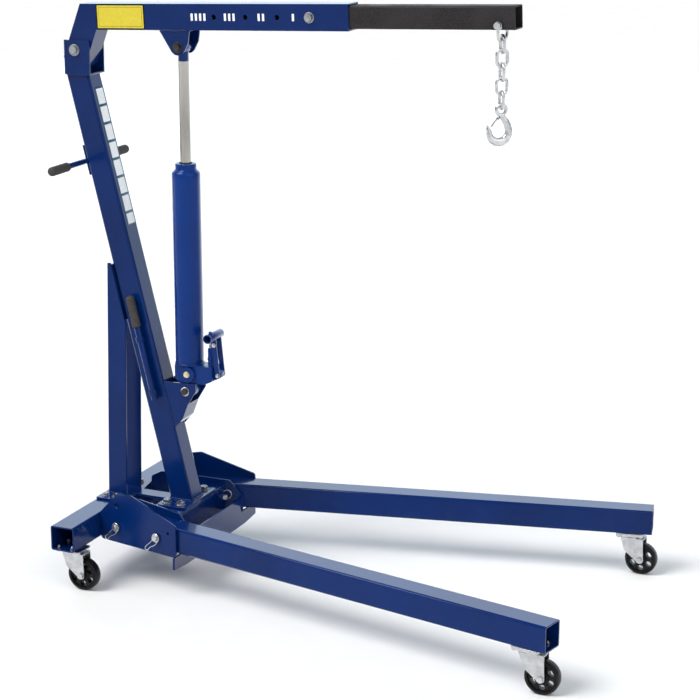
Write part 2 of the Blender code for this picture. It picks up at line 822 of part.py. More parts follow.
def make_push_bar():
    face = mast_rear(push_bar_z) - GAP
    rear = face - push_plate_thickness / cos(mast_lean)
    plate = box(rear, face, -0.030, 0.030, push_bar_z - 0.035, push_bar_z + 0.045)
    plate = leaning(plate, push_bar_z)
    bar_x = face - (push_plate_thickness + push_bar_radius - 0.001) / cos(mast_lean)
    end = push_half_length - 0.006
    bar = join(plate, across(bar_x, push_bar_z, -end, end, push_bar_radius, 16))
    finish("push_bar", bar, blue, frame)
    for name, side in SIDES.items():
        bore = push_bar_radius + GAP
        profile = [
            (bore, -grip_length),
            (bore, -0.0055),
            (0.0, -0.0055),
            (0.0, 0.0),
            (grip_radius - 0.004, 0.0),
            (grip_radius, -0.004),
            (grip_radius, -grip_length + 0.002),
            (grip_radius - 0.002, -grip_length),
        ]
        grip = turned(profile, steps=20)
        place = Matrix.Translation((bar_x, side * push_half_length, push_bar_z))
        grip = moved(grip, place @ Matrix.Rotation(-side * pi / 2, 4, "X"))
        finish(f"push_grip_{name}", grip, rubber, frame, smooth=True)


def make_stored_handle():
    """The pump handle leans with the mast, held on its right side by two spring clips."""
    y = -(mast_width / 2 + handle_off_mast + grip_radius)

    def on_handle(z):
        return Vector((mast_rear(z) + mast_run * 0.55, y, z))

    grip_bottom = handle_top - grip_length
    bar = rod(on_handle(handle_bottom), on_handle(grip_bottom), handle_radius, 20)
    finish("pump_handle", bar, blue, frame, smooth=True)
    grip = rod(on_handle(grip_bottom + GAP), on_handle(handle_top), grip_radius, 20)
    finish("pump_handle_grip", grip, rubber, frame, smooth=True)
    for name, z in {"lower": handle_bottom + 0.020, "upper": grip_bottom - 0.035}.items():
        opening = radians(70)
        ring = handle_radius + GAP
        arc = [opening / 2 + (2 * pi - opening) * k / 16 for k in range(17)]
        outer = [((ring + 0.002) * sin(a), -(ring + 0.002) * cos(a)) for a in arc]
        inner = [(ring * sin(a), -ring * cos(a)) for a in reversed(arc)]
        place = Matrix.Translation(on_handle(z)) @ Matrix.Rotation(-mast_lean, 4, "Y")
        clip = moved(sheet(outer + inner, 0.014), place)
        foot = box(-0.006, 0.006, handle_radius + 0.001, -y - mast_width / 2 - GAP, -0.0068, 0.0068)
        finish(f"handle_clip_{name}", join(clip, moved(foot, place)), blue, frame)


# ---------------------------------------------------------------- boom
def make_boom(joint):
    """The boom and its neck are one bent box section, hollow right through."""
    neck = neck_lean + boom_pitch
    pivot_u, pivot_w = to_boom(boom_pivot_x, boom_pivot_z)
    down = Vector((-sin(neck), -cos(neck)))
    forward = Vector((cos(neck), -sin(neck)))
    corner = Vector((boom_rear, 0.0))

    def bent(wall, front, extra):
        """Outline of the bend inset by wall; extra runs it past both open ends."""
        end = neck_length + extra
        bottom = wall - boom_height
        inner_line = corner + forward * (neck_depth - wall)
        elbow = inner_line + down * ((bottom - inner_line.y) / down.y)
        return [
            (boom_rear + wall * (1 - sin(neck)) / cos(neck), -wall),
            (front, -wall),
            (front, bottom),
            tuple(elbow),
            tuple(corner + down * end + forward * (neck_depth - wall)),
            tuple(corner + down * end + forward * wall),
        ]

    outer = side_plate(bent(0.0, boom_front, 0.0), boom_width, 0)
    inner = side_plate(bent(boom_wall, boom_front + 0.02, 0.02), boom_width - 2 * boom_wall, 0)
    bores = [across(pivot_u, pivot_w, -0.05, 0.05, pivot_bore)]
    for k in range(lock_hole_count):
        u = lock_hole_first + k * lock_hole_pitch
        bores.append(across(u, -boom_height / 2, -0.05, 0.05, lock_hole_radius, 16))
    tube = cut(outer, inner, *bores)
    finish("boom", moved(tube, boom_frame()), blue, joint)

    pin_u, pin_w = to_boom(ram_x, ram_top_z)
    top = -boom_height - GAP
    half = boom_width / 2
    shape = [(pin_u - 0.052, top)]
    for step in range(5):
        angle = radians(215 + 110 * step / 4)
        shape.append((pin_u + 0.022 * cos(angle), pin_w + 0.022 * sin(angle)))
    shape += [(pin_u + 0.031, pin_w + 0.010), (pin_u + 0.037, top)]
    slot = box(pin_u - 0.1, pin_u + 0.1, -lug_half_gap, lug_half_gap, pin_w - 0.05, top - 0.003)
    lug = cut(
        side_plate(shape[::-1], boom_width, 0),
        slot,
        across(pin_u, pin_w, -0.05, 0.05, pivot_bore),
    )
    finish("boom_lug", moved(lug, boom_frame()), blue, joint)
    for name, side in SIDES.items():
        stub = join(
            across(pin_u, pin_w, side * (lug_half_gap + 0.0005), side * (half + 0.003), pin_radius),
            across(pin_u, pin_w, side * (half + GAP), side * (half + 0.009), 0.0125, 6),
        )
        finish(f"ram_top_bolt_{name}", moved(stub, boom_frame()), zinc, joint)

    u = lock_hole_first + (lock_hole_count - 1) * lock_hole_pitch
    lock_bolt_radius = lock_hole_radius - pin_clearance
    bolt = join(
        across(u, -boom_height / 2, -half - 0.003, -half + boom_wall - 0.0006, lock_bolt_radius, 16),
        across(u, -boom_height / 2, -half - 0.0025, -half - GAP, 0.0135),
        across(u, -boom_height / 2, -half - 0.010, -half - 0.0020, 0.0100, 6),
    )
    finish("extension_lock_bolt", moved(bolt, boom_frame()), zinc, joint)


def make_extension(joint):
    length = extension_outer_end - extension_inner_end
    tube = square_tube(extension_width, extension_height, extension_wall, length, 0.005)
    tube = moved(tube, Matrix.Translation((extension_inner_end, 0, -boom_height / 2)))
    u = lock_hole_first + (lock_hole_count - 1) * lock_hole_pitch
    hang_u = extension_outer_end - hang_bolt_from_end
    hang_w = -boom_height / 2 - extension_height / 2 + hang_bolt_above_bottom
    tube = cut(
        tube,
        across(u, -boom_height / 2, -0.05, 0.05, lock_hole_radius, 16),
        across(hang_u, hang_w, -0.05, 0.05, 0.0060, 16),
    )
    finish("boom_extension", moved(tube, boom_frame()), dark, joint)
    outer = shackle_half_gap + 2 * shackle_bar + 0.0006
    bolt = hex_bolt(hang_u, hang_w, -outer, outer, 0.0054, 0.0100, 0.0065)
    finish("shackle_bolt", moved(bolt, boom_frame()), zinc, joint)
    return boom_frame() @ Vector((hang_u, 0, hang_w))


# ---------------------------------------------------------------- ram
def make_ram():
    tilt = empty("ram_tilt", (ram_x, 0, ram_foot_z), frame)
    bore = rod_radius + rod_clearance
    profile = [
        (bore, ram_collar_top),
        (ram_collar_radius - 0.002, ram_collar_top),
        (ram_collar_radius, ram_collar_top - 0.002),
        (ram_collar_radius, ram_body_top + 0.012),
        (ram_body_radius - 0.003, ram_body_top + 0.004),
        (ram_body_radius, ram_body_top - 0.004),
        (ram_body_radius, ram_body_bottom + GAP),
        (0.0, ram_body_bottom + GAP),
        (0.0, ram_bore_bottom),
        (bore, ram_bore_bottom),
    ]
    body = moved(turned(profile, steps=40), Matrix.Translation((ram_x, 0, 0)))
    finish("ram_cylinder", body, blue, tilt, smooth=True)

    top = ram_body_above_foot
    block = fillet(from_ram_foot([
        (-0.0345, top),
        (-0.0345, 0.033),
        (-0.020, 0.023),
        (0.055, 0.023),
        (0.100, 0.045),
        (0.100, 0.058),
        (0.082, top),
    ]), 0.004, steps=2)
    link_x, link_z = ram_x + 0.094, ram_foot_z + 0.051
    boss_z = ram_foot_z + 0.049
    half = foot_eye_half_width
    pump = join(
        side_plate(block, 0.050, 0),
        box(ram_x - 0.018, ram_x + 0.018, -half, half, ram_foot_z, ram_foot_z + 0.041),
        across(ram_x, ram_foot_z, -half - 0.001, half + 0.001, 0.0210),
        across(ram_x + 0.006, boss_z, -0.0330, -0.018, 0.0225),
        rod((ram_x + 0.066, 0, ram_body_bottom - 0.004), (ram_x + 0.066, 0, ram_body_bottom + 0.045), 0.0088),
    )
    flats = [
        box(ram_x + 0.080, ram_x + 0.12, 0.0125, 0.04, ram_foot_z, ram_body_bottom + 0.01),
        box(ram_x + 0.080, ram_x + 0.12, -0.04, -0.0125, ram_foot_z, ram_body_bottom + 0.01),
    ]
    pump = cut(pump, across(ram_x, ram_foot_z, -0.05, 0.05, pivot_bore), *flats)
    finish("pump_unit", pump, blue, tilt)

    socket_x, socket_z = ram_x + 0.080, ram_foot_z + 0.161
    bar = fillet([
        (link_x - 0.006, link_z - 0.007),
        (link_x + 0.006, link_z - 0.007),
        (socket_x + 0.009, socket_z),
        (socket_x - 0.009, socket_z),
    ], 0.003, steps=2)
    lever = join(
        side_plate(bar, 0.004, 0.0153),
        side_plate(bar, 0.004, -0.0153),
        across(socket_x, socket_z, -0.048, 0.030, 0.0120),
        across(link_x, link_z, -0.0200, -0.0134, 0.0055, 12),
        across(link_x, link_z, 0.0134, 0.0200, 0.0055, 12),
    )
    lever = cut(lever, across(socket_x, socket_z, -0.060, 0.026, 0.0098))
    finish("pump_lever", lever, blue, tilt)

    stroke = empty("ram_stroke", (ram_x, 0, ram_top_z), tilt)
    bar = rod((ram_x, 0, rod_bottom), (ram_x, 0, rod_top - GAP), rod_radius, 28)
    finish("ram_rod", bar, chrome, stroke, smooth=True)
    eye = join(
        rod((ram_x, 0, rod_top), (ram_x, 0, ram_top_z), rod_radius, 28),
        across(ram_x, ram_top_z, -eye_half_width, eye_half_width, eye_radius),
    )
    eye = cut(eye, across(ram_x, ram_top_z, -0.05, 0.05, pivot_bore))
    finish("rod_eye", eye, blue, stroke, smooth=True)


# ---------------------------------------------------------------- chain and hook
def link_points(centre_z, turned_link, steps=6):
    """Stadium path of one link about the chain's own axis, in XZ, or in YZ when turned."""
    bend = link_half_width - link_wire
    half_straight = link_half_length - link_half_width
    points = []
    for end in (1, -1):
        for k in range(steps + 1):
            angle = pi * k / steps if end > 0 else pi + pi * k / steps
            side = bend * cos(angle)
            up = centre_z + end * half_straight + bend * sin(angle)
            points.append((0.0, side, up) if turned_link else (side, 0.0, up))
    return points


def make_shackle(hang):
    """A U in YZ that straddles the extension, its two eyes on the bolt."""
    swing = empty("shackle_swing", hang, extension_joint)
    x, _, z = hang
    half = shackle_half_gap + shackle_bar
    low = z - shackle_drop
    path = [(x, -half, z)]
    for k in range(6):
        angle = pi / 2 * k / 5
        path.append((x, -half + shackle_bend * (1 - cos(angle)), low + shackle_bend * (1 - sin(angle))))
    path += [(px, -py, pz) for px, py, pz in reversed(path)]
    shackle = join(
        wire(path, shackle_bar),
        across(x, z, -half - shackle_bar, -half + shackle_bar - 0.0006, 0.0105, 20),
        across(x, z, half - shackle_bar + 0.0006, half + shackle_bar, 0.0105, 20),
    )
    shackle = cut(shackle, across(x, z, -0.06, 0.06, 0.0060, 16))
    finish("shackle", shackle, zinc, swing, smooth=True)
    return Vector((x, 0, low))


def make_chain(bow):
    """Links that stand turned to the machine, so that the first can hang on the shackle's bow."""
    swing = empty("chain_swing", bow, bpy.data.objects["shackle_swing"])
    turn = Matrix.Translation(bow) @ Matrix.Rotation(chain_turn, 4, "Z")
    first = -0.0030 - (link_half_length - link_half_width)
    pitch = 2 * (link_half_length - 2 * link_wire) + 0.0008
    paths = [link_points(first - k * pitch, k % 2 == 0) for k in range(link_count)]
    links = [wire(path, link_wire, cyclic=True) for path in paths]
    finish("chain", moved(join(*links), turn), zinc, swing, smooth=True)

    last = first - (link_count - 1) * pitch
    eye_z = last - (link_half_length - 2 * link_wire) - (hook_eye_bend - hook_eye_wire) + 0.0007
    make_hook(eye_z, turn, swing)


def make_hook(eye_z, turn, swing):
    """An eye over a hook that thickens through its bowl and thins to its tip."""
    ring = []
    for k in range(20):
        angle = 2 * pi * k / 20
        ring.append((hook_eye_bend * cos(angle), 0, eye_z + hook_eye_bend * sin(angle)))
    bowl_x, bowl_z = -hook_bowl_behind_eye, eye_z - hook_bowl_below_eye
    neck = [(-0.001, 0.013, 0.55), (0.005, 0.020, 0.66), (0.012, 0.029, 0.76), (0.0175, 0.038, 0.80)]
    path = [(x, 0, eye_z - drop) for x, drop, _ in neck]
    widths = [width for _, _, width in neck]
    steps = 12
    for k in range(steps + 1):
        angle = radians(25 - 205 * k / steps)
        path.append((bowl_x + hook_bowl * cos(angle), 0, bowl_z + hook_bowl * sin(angle)))
        widths.append(0.82 + 0.18 * sin(pi * min(k / 7, 1) / 2) - 0.34 * max(k / steps - 0.58, 0) / 0.42)
    path += [(bowl_x - hook_bowl - 0.003, 0, bowl_z + 0.009), (bowl_x - hook_bowl - 0.005, 0, bowl_z + 0.018)]
    widths += [0.44, 0.18]
    flat = Matrix.Diagonal((1, hook_flatness, 1, 1))
    body = moved(wire(path, hook_bar, widths=widths), flat)
    hook = join(wire(ring, hook_eye_wire, cyclic=True), body)
    finish("hook", moved(hook, turn), zinc, swing, smooth=True)
    latch = [(-0.0085, 0, eye_z - 0.0215), (bowl_x - 0.0205, 0, bowl_z + 0.0125)]
    finish("hook_latch", moved(wire(latch, 0.0022), turn), zinc, swing)


# ---------------------------------------------------------------- build
clear_scene()
parts = new_collection("engine_hoist")
cutters = new_collection("cutters")
cutters.hide_render = True
parent_place = {}

blue = material("blue paint", (0.012, 0.035, 0.175), 0.30, 0.0)
dark = material("dark extension paint", (0.030, 0.026, 0.028), 0.50, 0.0)
zinc = material("zinc plate", (0.62, 0.63, 0.65), 0.32, 1.0)
chrome = material("chrome", (0.75, 0.74, 0.72), 0.10, 1.0)
black = material("black wheel", (0.012, 0.012, 0.013), 0.45, 0.0)
rubber = material("grip rubber", (0.030, 0.028, 0.028), 0.75, 0.0)

frame = bpy.data.objects.new("frame", None)
parts.objects.link(frame)
frame.location = (-middle_x, 0, 0)
parent_place[frame] = Vector()

make_cross_tube()
make_brackets()
make_base_plates()
make_leg_pins()
make_legs()
make_rear_casters()
make_mast()
make_ram_lug()
make_braces()
make_push_bar()
make_stored_handle()
boom_joint = empty("boom_lift", (boom_pivot_x, 0, boom_pivot_z), frame)
make_boom(boom_joint)
extension_joint = empty("boom_extend", (boom_pivot_x, 0, boom_pivot_z), boom_joint)
hang_place = make_extension(extension_joint)
make_ram()
make_chain(make_shackle(hang_place))
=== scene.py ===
"""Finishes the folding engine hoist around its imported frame.

It adds paint, plating, welds, fastenings, decals, the chain and the hook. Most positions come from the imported
nodes, the rest are named or stand beside what they place. Lengths are metres, +X points to the hook and +Y to
the machine's left.
"""

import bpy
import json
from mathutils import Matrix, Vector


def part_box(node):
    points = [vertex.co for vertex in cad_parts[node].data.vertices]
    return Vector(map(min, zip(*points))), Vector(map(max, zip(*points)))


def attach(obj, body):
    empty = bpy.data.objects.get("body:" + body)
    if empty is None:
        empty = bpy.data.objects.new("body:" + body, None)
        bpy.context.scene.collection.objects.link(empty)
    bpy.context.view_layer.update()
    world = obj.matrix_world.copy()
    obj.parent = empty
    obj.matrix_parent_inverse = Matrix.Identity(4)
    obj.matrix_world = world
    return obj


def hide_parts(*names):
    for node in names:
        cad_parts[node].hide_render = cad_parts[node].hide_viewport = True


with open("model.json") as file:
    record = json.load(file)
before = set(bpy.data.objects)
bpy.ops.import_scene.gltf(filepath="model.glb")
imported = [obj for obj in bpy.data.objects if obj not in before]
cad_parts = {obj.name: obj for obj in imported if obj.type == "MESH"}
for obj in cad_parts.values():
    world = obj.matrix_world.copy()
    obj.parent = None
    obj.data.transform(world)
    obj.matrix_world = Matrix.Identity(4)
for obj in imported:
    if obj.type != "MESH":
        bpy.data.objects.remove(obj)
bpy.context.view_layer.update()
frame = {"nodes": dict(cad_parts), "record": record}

import json
from math import atan2, cos, pi, radians, sin

import bmesh
import bpy
import numpy as np
from bpy.props import FloatProperty, FloatVectorProperty, IntProperty, PointerProperty
from mathutils import Vector

bl_info = {
    "name": "Folding engine hoist finish",
    "version": (1, 0, 0),
    "blender": (4, 5, 0),
    "location": "View3D > Sidebar > Hoist",
    "description": "Paints, welds and fits out a folding engine hoist",
    "category": "Object",
}

SIDES = {"right": -1.0, "left": 1.0}
CORNERS = ("rear_right", "rear_left", "front_right", "front_left")
TUBE_WALL = 0.004
MAST_DEPTH = 0.068
BOOM_TOP = 0.12277  # from the boom's pivot up to its top face
FLAT_FACE = 0.0042  # faces with more area than this times their perimeter are shaded flat
UP = np.array([0.0, 0.0, 1.0])
FORWARD = np.array([1.0, 0.0, 0.0])
LEFT = np.array([0.0, 1.0, 0.0])


# ---------------------------------------------------------------- places read from the frame
def box(node):
    low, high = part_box(node)
    return np.array(low), np.array(high)


def centre(node):
    low, high = box(node)
    return (low + high) / 2


def joint(name):
    return next(j for j in frame["record"]["behaviour"]["joints"] if j["name"] == name)


def unit(vector):
    vector = np.asarray(vector, float)
    return vector / np.linalg.norm(vector)


REAR = box("rear_cross_tube")[0][0]
BOOM_AXIS = unit(joint("boom_extend")["axis"])
BOOM_UP = np.cross(BOOM_AXIS, LEFT)
BOOM_UP = BOOM_UP if BOOM_UP[2] > 0 else -BOOM_UP
BOOM_HALF = box("boom")[1][1]
MAST_LOW, MAST_HIGH = box("mast")


# ---------------------------------------------------------------- user settings
class HoistPaint(bpy.types.PropertyGroup):
    blue: FloatVectorProperty(
        name="Blue", description="Colour of the gloss paint",
        default=(0.0006, 0.0175, 0.110), subtype="COLOR",
    )
    ram: FloatVectorProperty(
        name="Ram", description="Colour of the ram's brighter paint",
        default=(0.0005, 0.0260, 0.165), subtype="COLOR",
    )
    extension: FloatVectorProperty(
        name="Extension", description="Colour of the textured extension paint",
        default=(0.0105, 0.0092, 0.0098), subtype="COLOR",
    )
    yellow: FloatVectorProperty(
        name="Plate", description="Colour of the blank plate on the boom",
        default=(0.66, 0.54, 0.030), subtype="COLOR",
    )
    teal: FloatVectorProperty(
        name="Strip", description="Colour of the strip on the mast",
        default=(0.003, 0.075, 0.130), subtype="COLOR",
    )
    orange_peel: FloatProperty(
        name="Orange peel", description="Height of the paint's ripple", default=0.00012, unit="LENGTH"
    )
    roughness: FloatProperty(
        name="Gloss roughness", description="Roughness of fresh paint", default=0.20, subtype="FACTOR"
    )
    shine: FloatProperty(
        name="Shine", description="Specular level of the paint", default=0.18, subtype="FACTOR"
    )


class HoistFittings(bpy.types.PropertyGroup):
    edge: FloatProperty(
        name="Edge radius", description="Rounding of cut plate edges", default=0.0007, unit="LENGTH"
    )
    weld: FloatProperty(
        name="Weld bead", description="Radius of a weld bead", default=0.0030, unit="LENGTH"
    )
    weld_pitch: FloatProperty(
        name="Weld ripple", description="Length of one weld ripple", default=0.0028, unit="LENGTH"
    )
    foot_bolt: FloatProperty(
        name="Foot bolt", description="Mast foot bolt across flats", default=0.019, unit="LENGTH"
    )
    small_bolt: FloatProperty(
        name="Small bolt", description="Caster bolt across flats", default=0.010, unit="LENGTH"
    )
    clip_wire: FloatProperty(
        name="Clip wire", description="Radius of a pin clip's wire", default=0.0012, unit="LENGTH"
    )
    decals: IntProperty(
        name="Decals", description="Blank boxes on the mast strip", default=8, min=1, max=12
    )


# ---------------------------------------------------------------- shader maths
class Value:
    """A shader socket: an operator on it adds the Math node that does the sum."""

    def __init__(self, finish, socket):
        self.finish = finish
        self.socket = socket

    def _math(self, operation, first, second):
        node = self.finish.node("ShaderNodeMath", {"operation": operation}, {0: first, 1: second})
        return Value(self.finish, node.outputs[0])

    def __add__(self, other):
        return self._math("ADD", self, other)

    def __radd__(self, other):
        return self._math("ADD", other, self)

    def __sub__(self, other):
        return self._math("SUBTRACT", self, other)

    def __rsub__(self, other):
        return self._math("SUBTRACT", other, self)

    def __mul__(self, other):
        return self._math("MULTIPLY", self, other)

    def __rmul__(self, other):
        return self._math("MULTIPLY", other, self)

    def ramp(self, low, high, to_low=0.0, to_high=1.0):
        """Carries low..high onto to_low..to_high and holds the ends."""
        node = self.finish.node(
            "ShaderNodeMapRange", {"clamp": True, "interpolation_type": "SMOOTHSTEP"},
            {0: self, 1: low, 2: high, 3: to_low, 4: to_high},
        )
        return Value(self.finish, node.outputs[0])


class Finish:
    """A node material on a Principled surface, in the object's own coordinates."""

    def __init__(self, name):
        self.material = bpy.data.materials.new(name)
        self.material.use_nodes = True
        self.tree = self.material.node_tree
        self.surface = self.tree.nodes["Principled BSDF"]
        place = self.tree.nodes.new("ShaderNodeTexCoord").outputs["Object"]
        self.place = Value(self, place)
        split = self.node("ShaderNodeSeparateXYZ", inputs={0: self.place})
        self.x, self.y, self.z = (Value(self, split.outputs[k]) for k in range(3))

    def node(self, kind, settings=None, inputs=None):
        """Adds a node: its settings come first, then the values or links of its sockets."""
        made = self.tree.nodes.new(kind)
        for key, value in (settings or {}).items():
            setattr(made, key, value)
        for key, value in (inputs or {}).items():
            self.feed(made.inputs[key], value)
        return made

    def feed(self, socket, value):
        if isinstance(value, Value):
            self.tree.links.new(value.socket, socket)
        else:
            socket.default_value = value

    def noise(self, scale, detail=2.0, stretch=(1.0, 1.0, 1.0)):
        place = self.node("ShaderNodeMapping", inputs={"Vector": self.place, "Scale": stretch})
        made = self.node("ShaderNodeTexNoise", inputs={
            "Vector": Value(self, place.outputs[0]), "Scale": scale, "Detail": detail,
        })
        return Value(self, made.outputs[0])

    def cells(self, scale):
        made = self.node("ShaderNodeTexVoronoi", inputs={"Vector": self.place, "Scale": scale})
        return Value(self, made.outputs["Distance"])

    def blend(self, factor, first, second):
        """Mixes two colours, each a triple or a socket."""
        colour = [c if isinstance(c, Value) else (*c, 1.0) for c in (first, second)]
        made = self.node("ShaderNodeMix", {"data_type": "RGBA"}, {0: factor, 6: colour[0], 7: colour[1]})
        return Value(self, made.outputs[2])

    def glaze(self, low, high, weight):
        """A clear coat that shows on faces seen aslant, as gloss paint does."""
        facing = Value(self, self.node("ShaderNodeLayerWeight", inputs={0: 0.5}).outputs["Facing"])
        self.feed(self.surface.inputs["Coat Weight"], facing.ramp(low, high, 0.0, weight))

    def finish(self, colour, roughness, metallic=0.0, height=None, depth=0.0001, **constants):
        """Sets the surface: a varying height becomes a bump of that depth."""
        self.feed(self.surface.inputs["Base Color"], colour if isinstance(colour, Value) else (*colour, 1.0))
        self.feed(self.surface.inputs["Roughness"], roughness)
        self.feed(self.surface.inputs["Metallic"], metallic)
        if height is not None:
            bump = self.node("ShaderNodeBump", inputs={"Strength": 1.0, "Distance": depth, "Height": height})
            self.tree.links.new(bump.outputs[0], self.surface.inputs["Normal"])
        for name, value in constants.items():
            self.surface.inputs[name.replace("_", " ").title().replace("Ior", "IOR")].default_value = value
        return self.material


def shade(colour, amount):
    return tuple(min(1.0, c * amount) for c in colour)


def paint_finish(name, colour, settings):
    """Gloss paint: a slow drift of tone, a fine ripple, dust low down and small rubbed specks."""
    made = Finish(name)
    drift = made.noise(3.5, 3.0).ramp(0.30, 0.70)
    tone = made.blend(drift, shade(colour, 0.86), shade(colour, 1.16))
    dust = made.noise(30.0, 5.0).ramp(0.50, 0.80) * made.z.ramp(0.03, 0.22, 0.10, 0.01)
    tone = made.blend(dust, tone, (0.10, 0.11, 0.14))
    specks = made.noise(160.0, 2.0).ramp(0.75, 0.78) * made.noise(7.0, 2.0).ramp(0.58, 0.72)
    tone = made.blend(specks * 0.4, tone, (0.12, 0.14, 0.18))
    ripple = made.noise(240.0, 1.0) + made.noise(38.0, 2.0) * 0.6
    gloss = settings.roughness
    rough = made.noise(9.0, 4.0).ramp(0.3, 0.7, gloss - 0.04, gloss + 0.05) + dust * 0.2
    made.glaze(0.30, 0.62, 0.9)
    return made.finish(
        tone, rough, 0.0, ripple, settings.orange_peel, specular_ior_level=settings.shine, coat_roughness=0.10
    )


def textured_finish(name, colour):
    """Wrinkled powder coat: pebbled cells over fine grain, with the raised crests lightened as a painted
    highlight.
    """
    made = Finish(name)
    pebbles = made.cells(330.0)
    grain = made.noise(900.0, 3.0)
    cloud = made.noise(14.0, 4.0).ramp(0.35, 0.70)
    tone = made.blend(cloud, shade(colour, 0.6), shade(colour, 1.7))
    # painted highlight: the raised crests of the pebbles are lightened where the bump is highest
    tone = made.blend(pebbles.ramp(0.25, 0.65) * 0.6, tone, shade(colour, 3.0))
    height = pebbles * 0.7 + grain * 0.5
    return made.finish(tone, cloud.ramp(0.0, 1.0, 0.46, 0.60), 0.0, height, 0.00035, specular_ior_level=0.28)


def plated_finish(name, colour, roughness, spangle):
    """Zinc plate: spangled tone, soft scratches and a little grime in the low noise."""
    made = Finish(name)
    cloud = made.noise(spangle, 4.0).ramp(0.30, 0.72)
    streaks = made.noise(420.0, 2.0, (1.0, 0.12, 1.0))
    tone = made.blend(cloud, shade(colour, 0.80), shade(colour, 1.08))
    grime = made.noise(60.0, 5.0).ramp(0.62, 0.80) * 0.35
    tone = made.blend(grime, tone, shade(colour, 0.35))
    rough = cloud.ramp(0.0, 1.0, roughness, roughness + 0.12) + streaks * 0.06
    return made.finish(tone, rough, 1.0, streaks + cloud * 0.6, 0.00008)


def chrome_finish():
    """Ground and chromed rod: very fine rings round its length, and darker streaks along it that are partly an
    oil film and partly painted reflection of a darker surround.
    """
    made = Finish("rod_chrome")
    rings = made.noise(900.0, 1.0, (0.02, 0.02, 1.0))
    oil_film_and_painted_reflection = made.noise(12.0, 3.0, (1.0, 1.0, 0.25)).ramp(0.35, 0.75)
    # painted reflection: the darker streaks along the rod stand in for a darker surround reflected in it, as
    # well as for an oil film
    tone = made.blend(oil_film_and_painted_reflection, (0.50, 0.475, 0.455), (0.33, 0.31, 0.29))
    return made.finish(tone, oil_film_and_painted_reflection.ramp(0.0, 1.0, 0.16, 0.28), 1.0, rings, 0.00003)


def moulded_finish(name, colour, roughness, grain, shine=0.5):
    """Moulded plastic or rubber: stippled skin with scuffs where it is paler and rougher."""
    made = Finish(name)
    stipple = made.noise(grain, 3.0)
    scuff = made.noise(26.0, 5.0).ramp(0.52, 0.74)
    tone = made.blend(scuff * 0.6, colour, tuple(0.045 * shine + 1.6 * c for c in colour))
    rough = scuff.ramp(0.0, 1.0, roughness, roughness + 0.15)
    return made.finish(tone, rough, 0.0, stipple, 0.00012, specular_ior_level=shine)


def printed_finish(name, colour, roughness=0.34, shine=0.5):
    """Printed vinyl: nearly even ink with faint mottling and edge dust."""
    made = Finish(name)
    mottle = made.noise(130.0, 4.0)
    tone = made.blend(mottle.ramp(0.35, 0.70), shade(colour, 0.95), shade(colour, 1.03))
    rough = mottle.ramp(0.2, 0.8, roughness, roughness + 0.08)
    return made.finish(tone, rough, 0.0, mottle, 0.00003, specular_ior_level=shine)


def floor_finish():
    """Pale studio floor with the faintest grain."""
    made = Finish("floor_pale")
    grain = made.noise(8.0, 4.0)
    tone = made.blend(grain.ramp(0.3, 0.7), (0.84, 0.84, 0.84), (0.86, 0.86, 0.86))
    return made.finish(tone, 0.75, 0.0, grain, 0.0002)


def wall_finish():
    """Pale studio wall that glows evenly, with the faintest mottling."""
    made = Finish("wall_pale")
    mottle = made.noise(0.4, 3.0).ramp(0.3, 0.7)
    made.feed(made.surface.inputs["Emission Color"], made.blend(mottle, (0.98, 0.98, 0.98), (1.0, 1.0, 1.0)))
    return made.finish((0.0, 0.0, 0.0), 0.9, emission_strength=1.0, specular_ior_level=0.0)


def finish_named(name):
    return bpy.data.materials[name]


# ---------------------------------------------------------------- surfaces
class Shell:
    """A closed surface as points and faces, turned to face outwards."""

    def __init__(self, points, faces):
        self.points = np.asarray(points, float)
        self.faces = faces
        if self.volume() < 0:
            self.faces = [face[::-1] for face in faces]

    def volume(self):
        """A sixth of the sum of each fan triangle's triple product."""
        total = 0.0
        for size in {len(face) for face in self.faces}:
            corners = self.points[np.array([face for face in self.faces if len(face) == size])]
            for k in range(1, size - 1):
                normal = np.cross(corners[:, k], corners[:, k + 1])
                total += np.einsum("ij,ij->", corners[:, 0], normal)
        return total / 6


def grid_shell(points, ring=False):
    """A closed shell from rows that are loops: a ring joins last row to first, else both ends are capped."""
    rows, columns, _ = points.shape
    index = np.arange(rows * columns).reshape(rows, columns)
    lower = index if ring else index[:-1]
    upper = np.roll(index, -1, axis=0) if ring else index[1:]
    quads = np.stack([lower, np.roll(lower, -1, axis=1), np.roll(upper, -1, axis=1), upper], axis=-1)
    faces = quads.reshape(-1, 4).tolist()
    if not ring:
        faces += [index[0][::-1].tolist(), index[-1].tolist()]
    return Shell(points.reshape(-1, 3), faces)


def frame_round(axis, hint=None):
    """Two unit vectors square to the axis and to each other."""
    axis = unit(axis)
    hint = LEFT if hint is None else hint
    if abs(np.dot(axis, hint)) > 0.95:
        hint = FORWARD
    first = unit(np.cross(hint, axis))
    return first, np.cross(axis, first)


def turned(profile, origin, axis, steps=48, ring=False):
    """Turns (radius, height) pairs: point = origin + axis h + r (u cos t + v sin t)."""
    profile = np.asarray(profile, float)
    u, v = frame_round(axis)
    t = np.linspace(0, 2 * pi, steps, endpoint=False)
    around = np.cos(t)[:, None] * u + np.sin(t)[:, None] * v
    points = np.asarray(origin) + profile[:, 1, None, None] * unit(axis) + profile[:, 0, None, None] * around
    return grid_shell(points, ring)


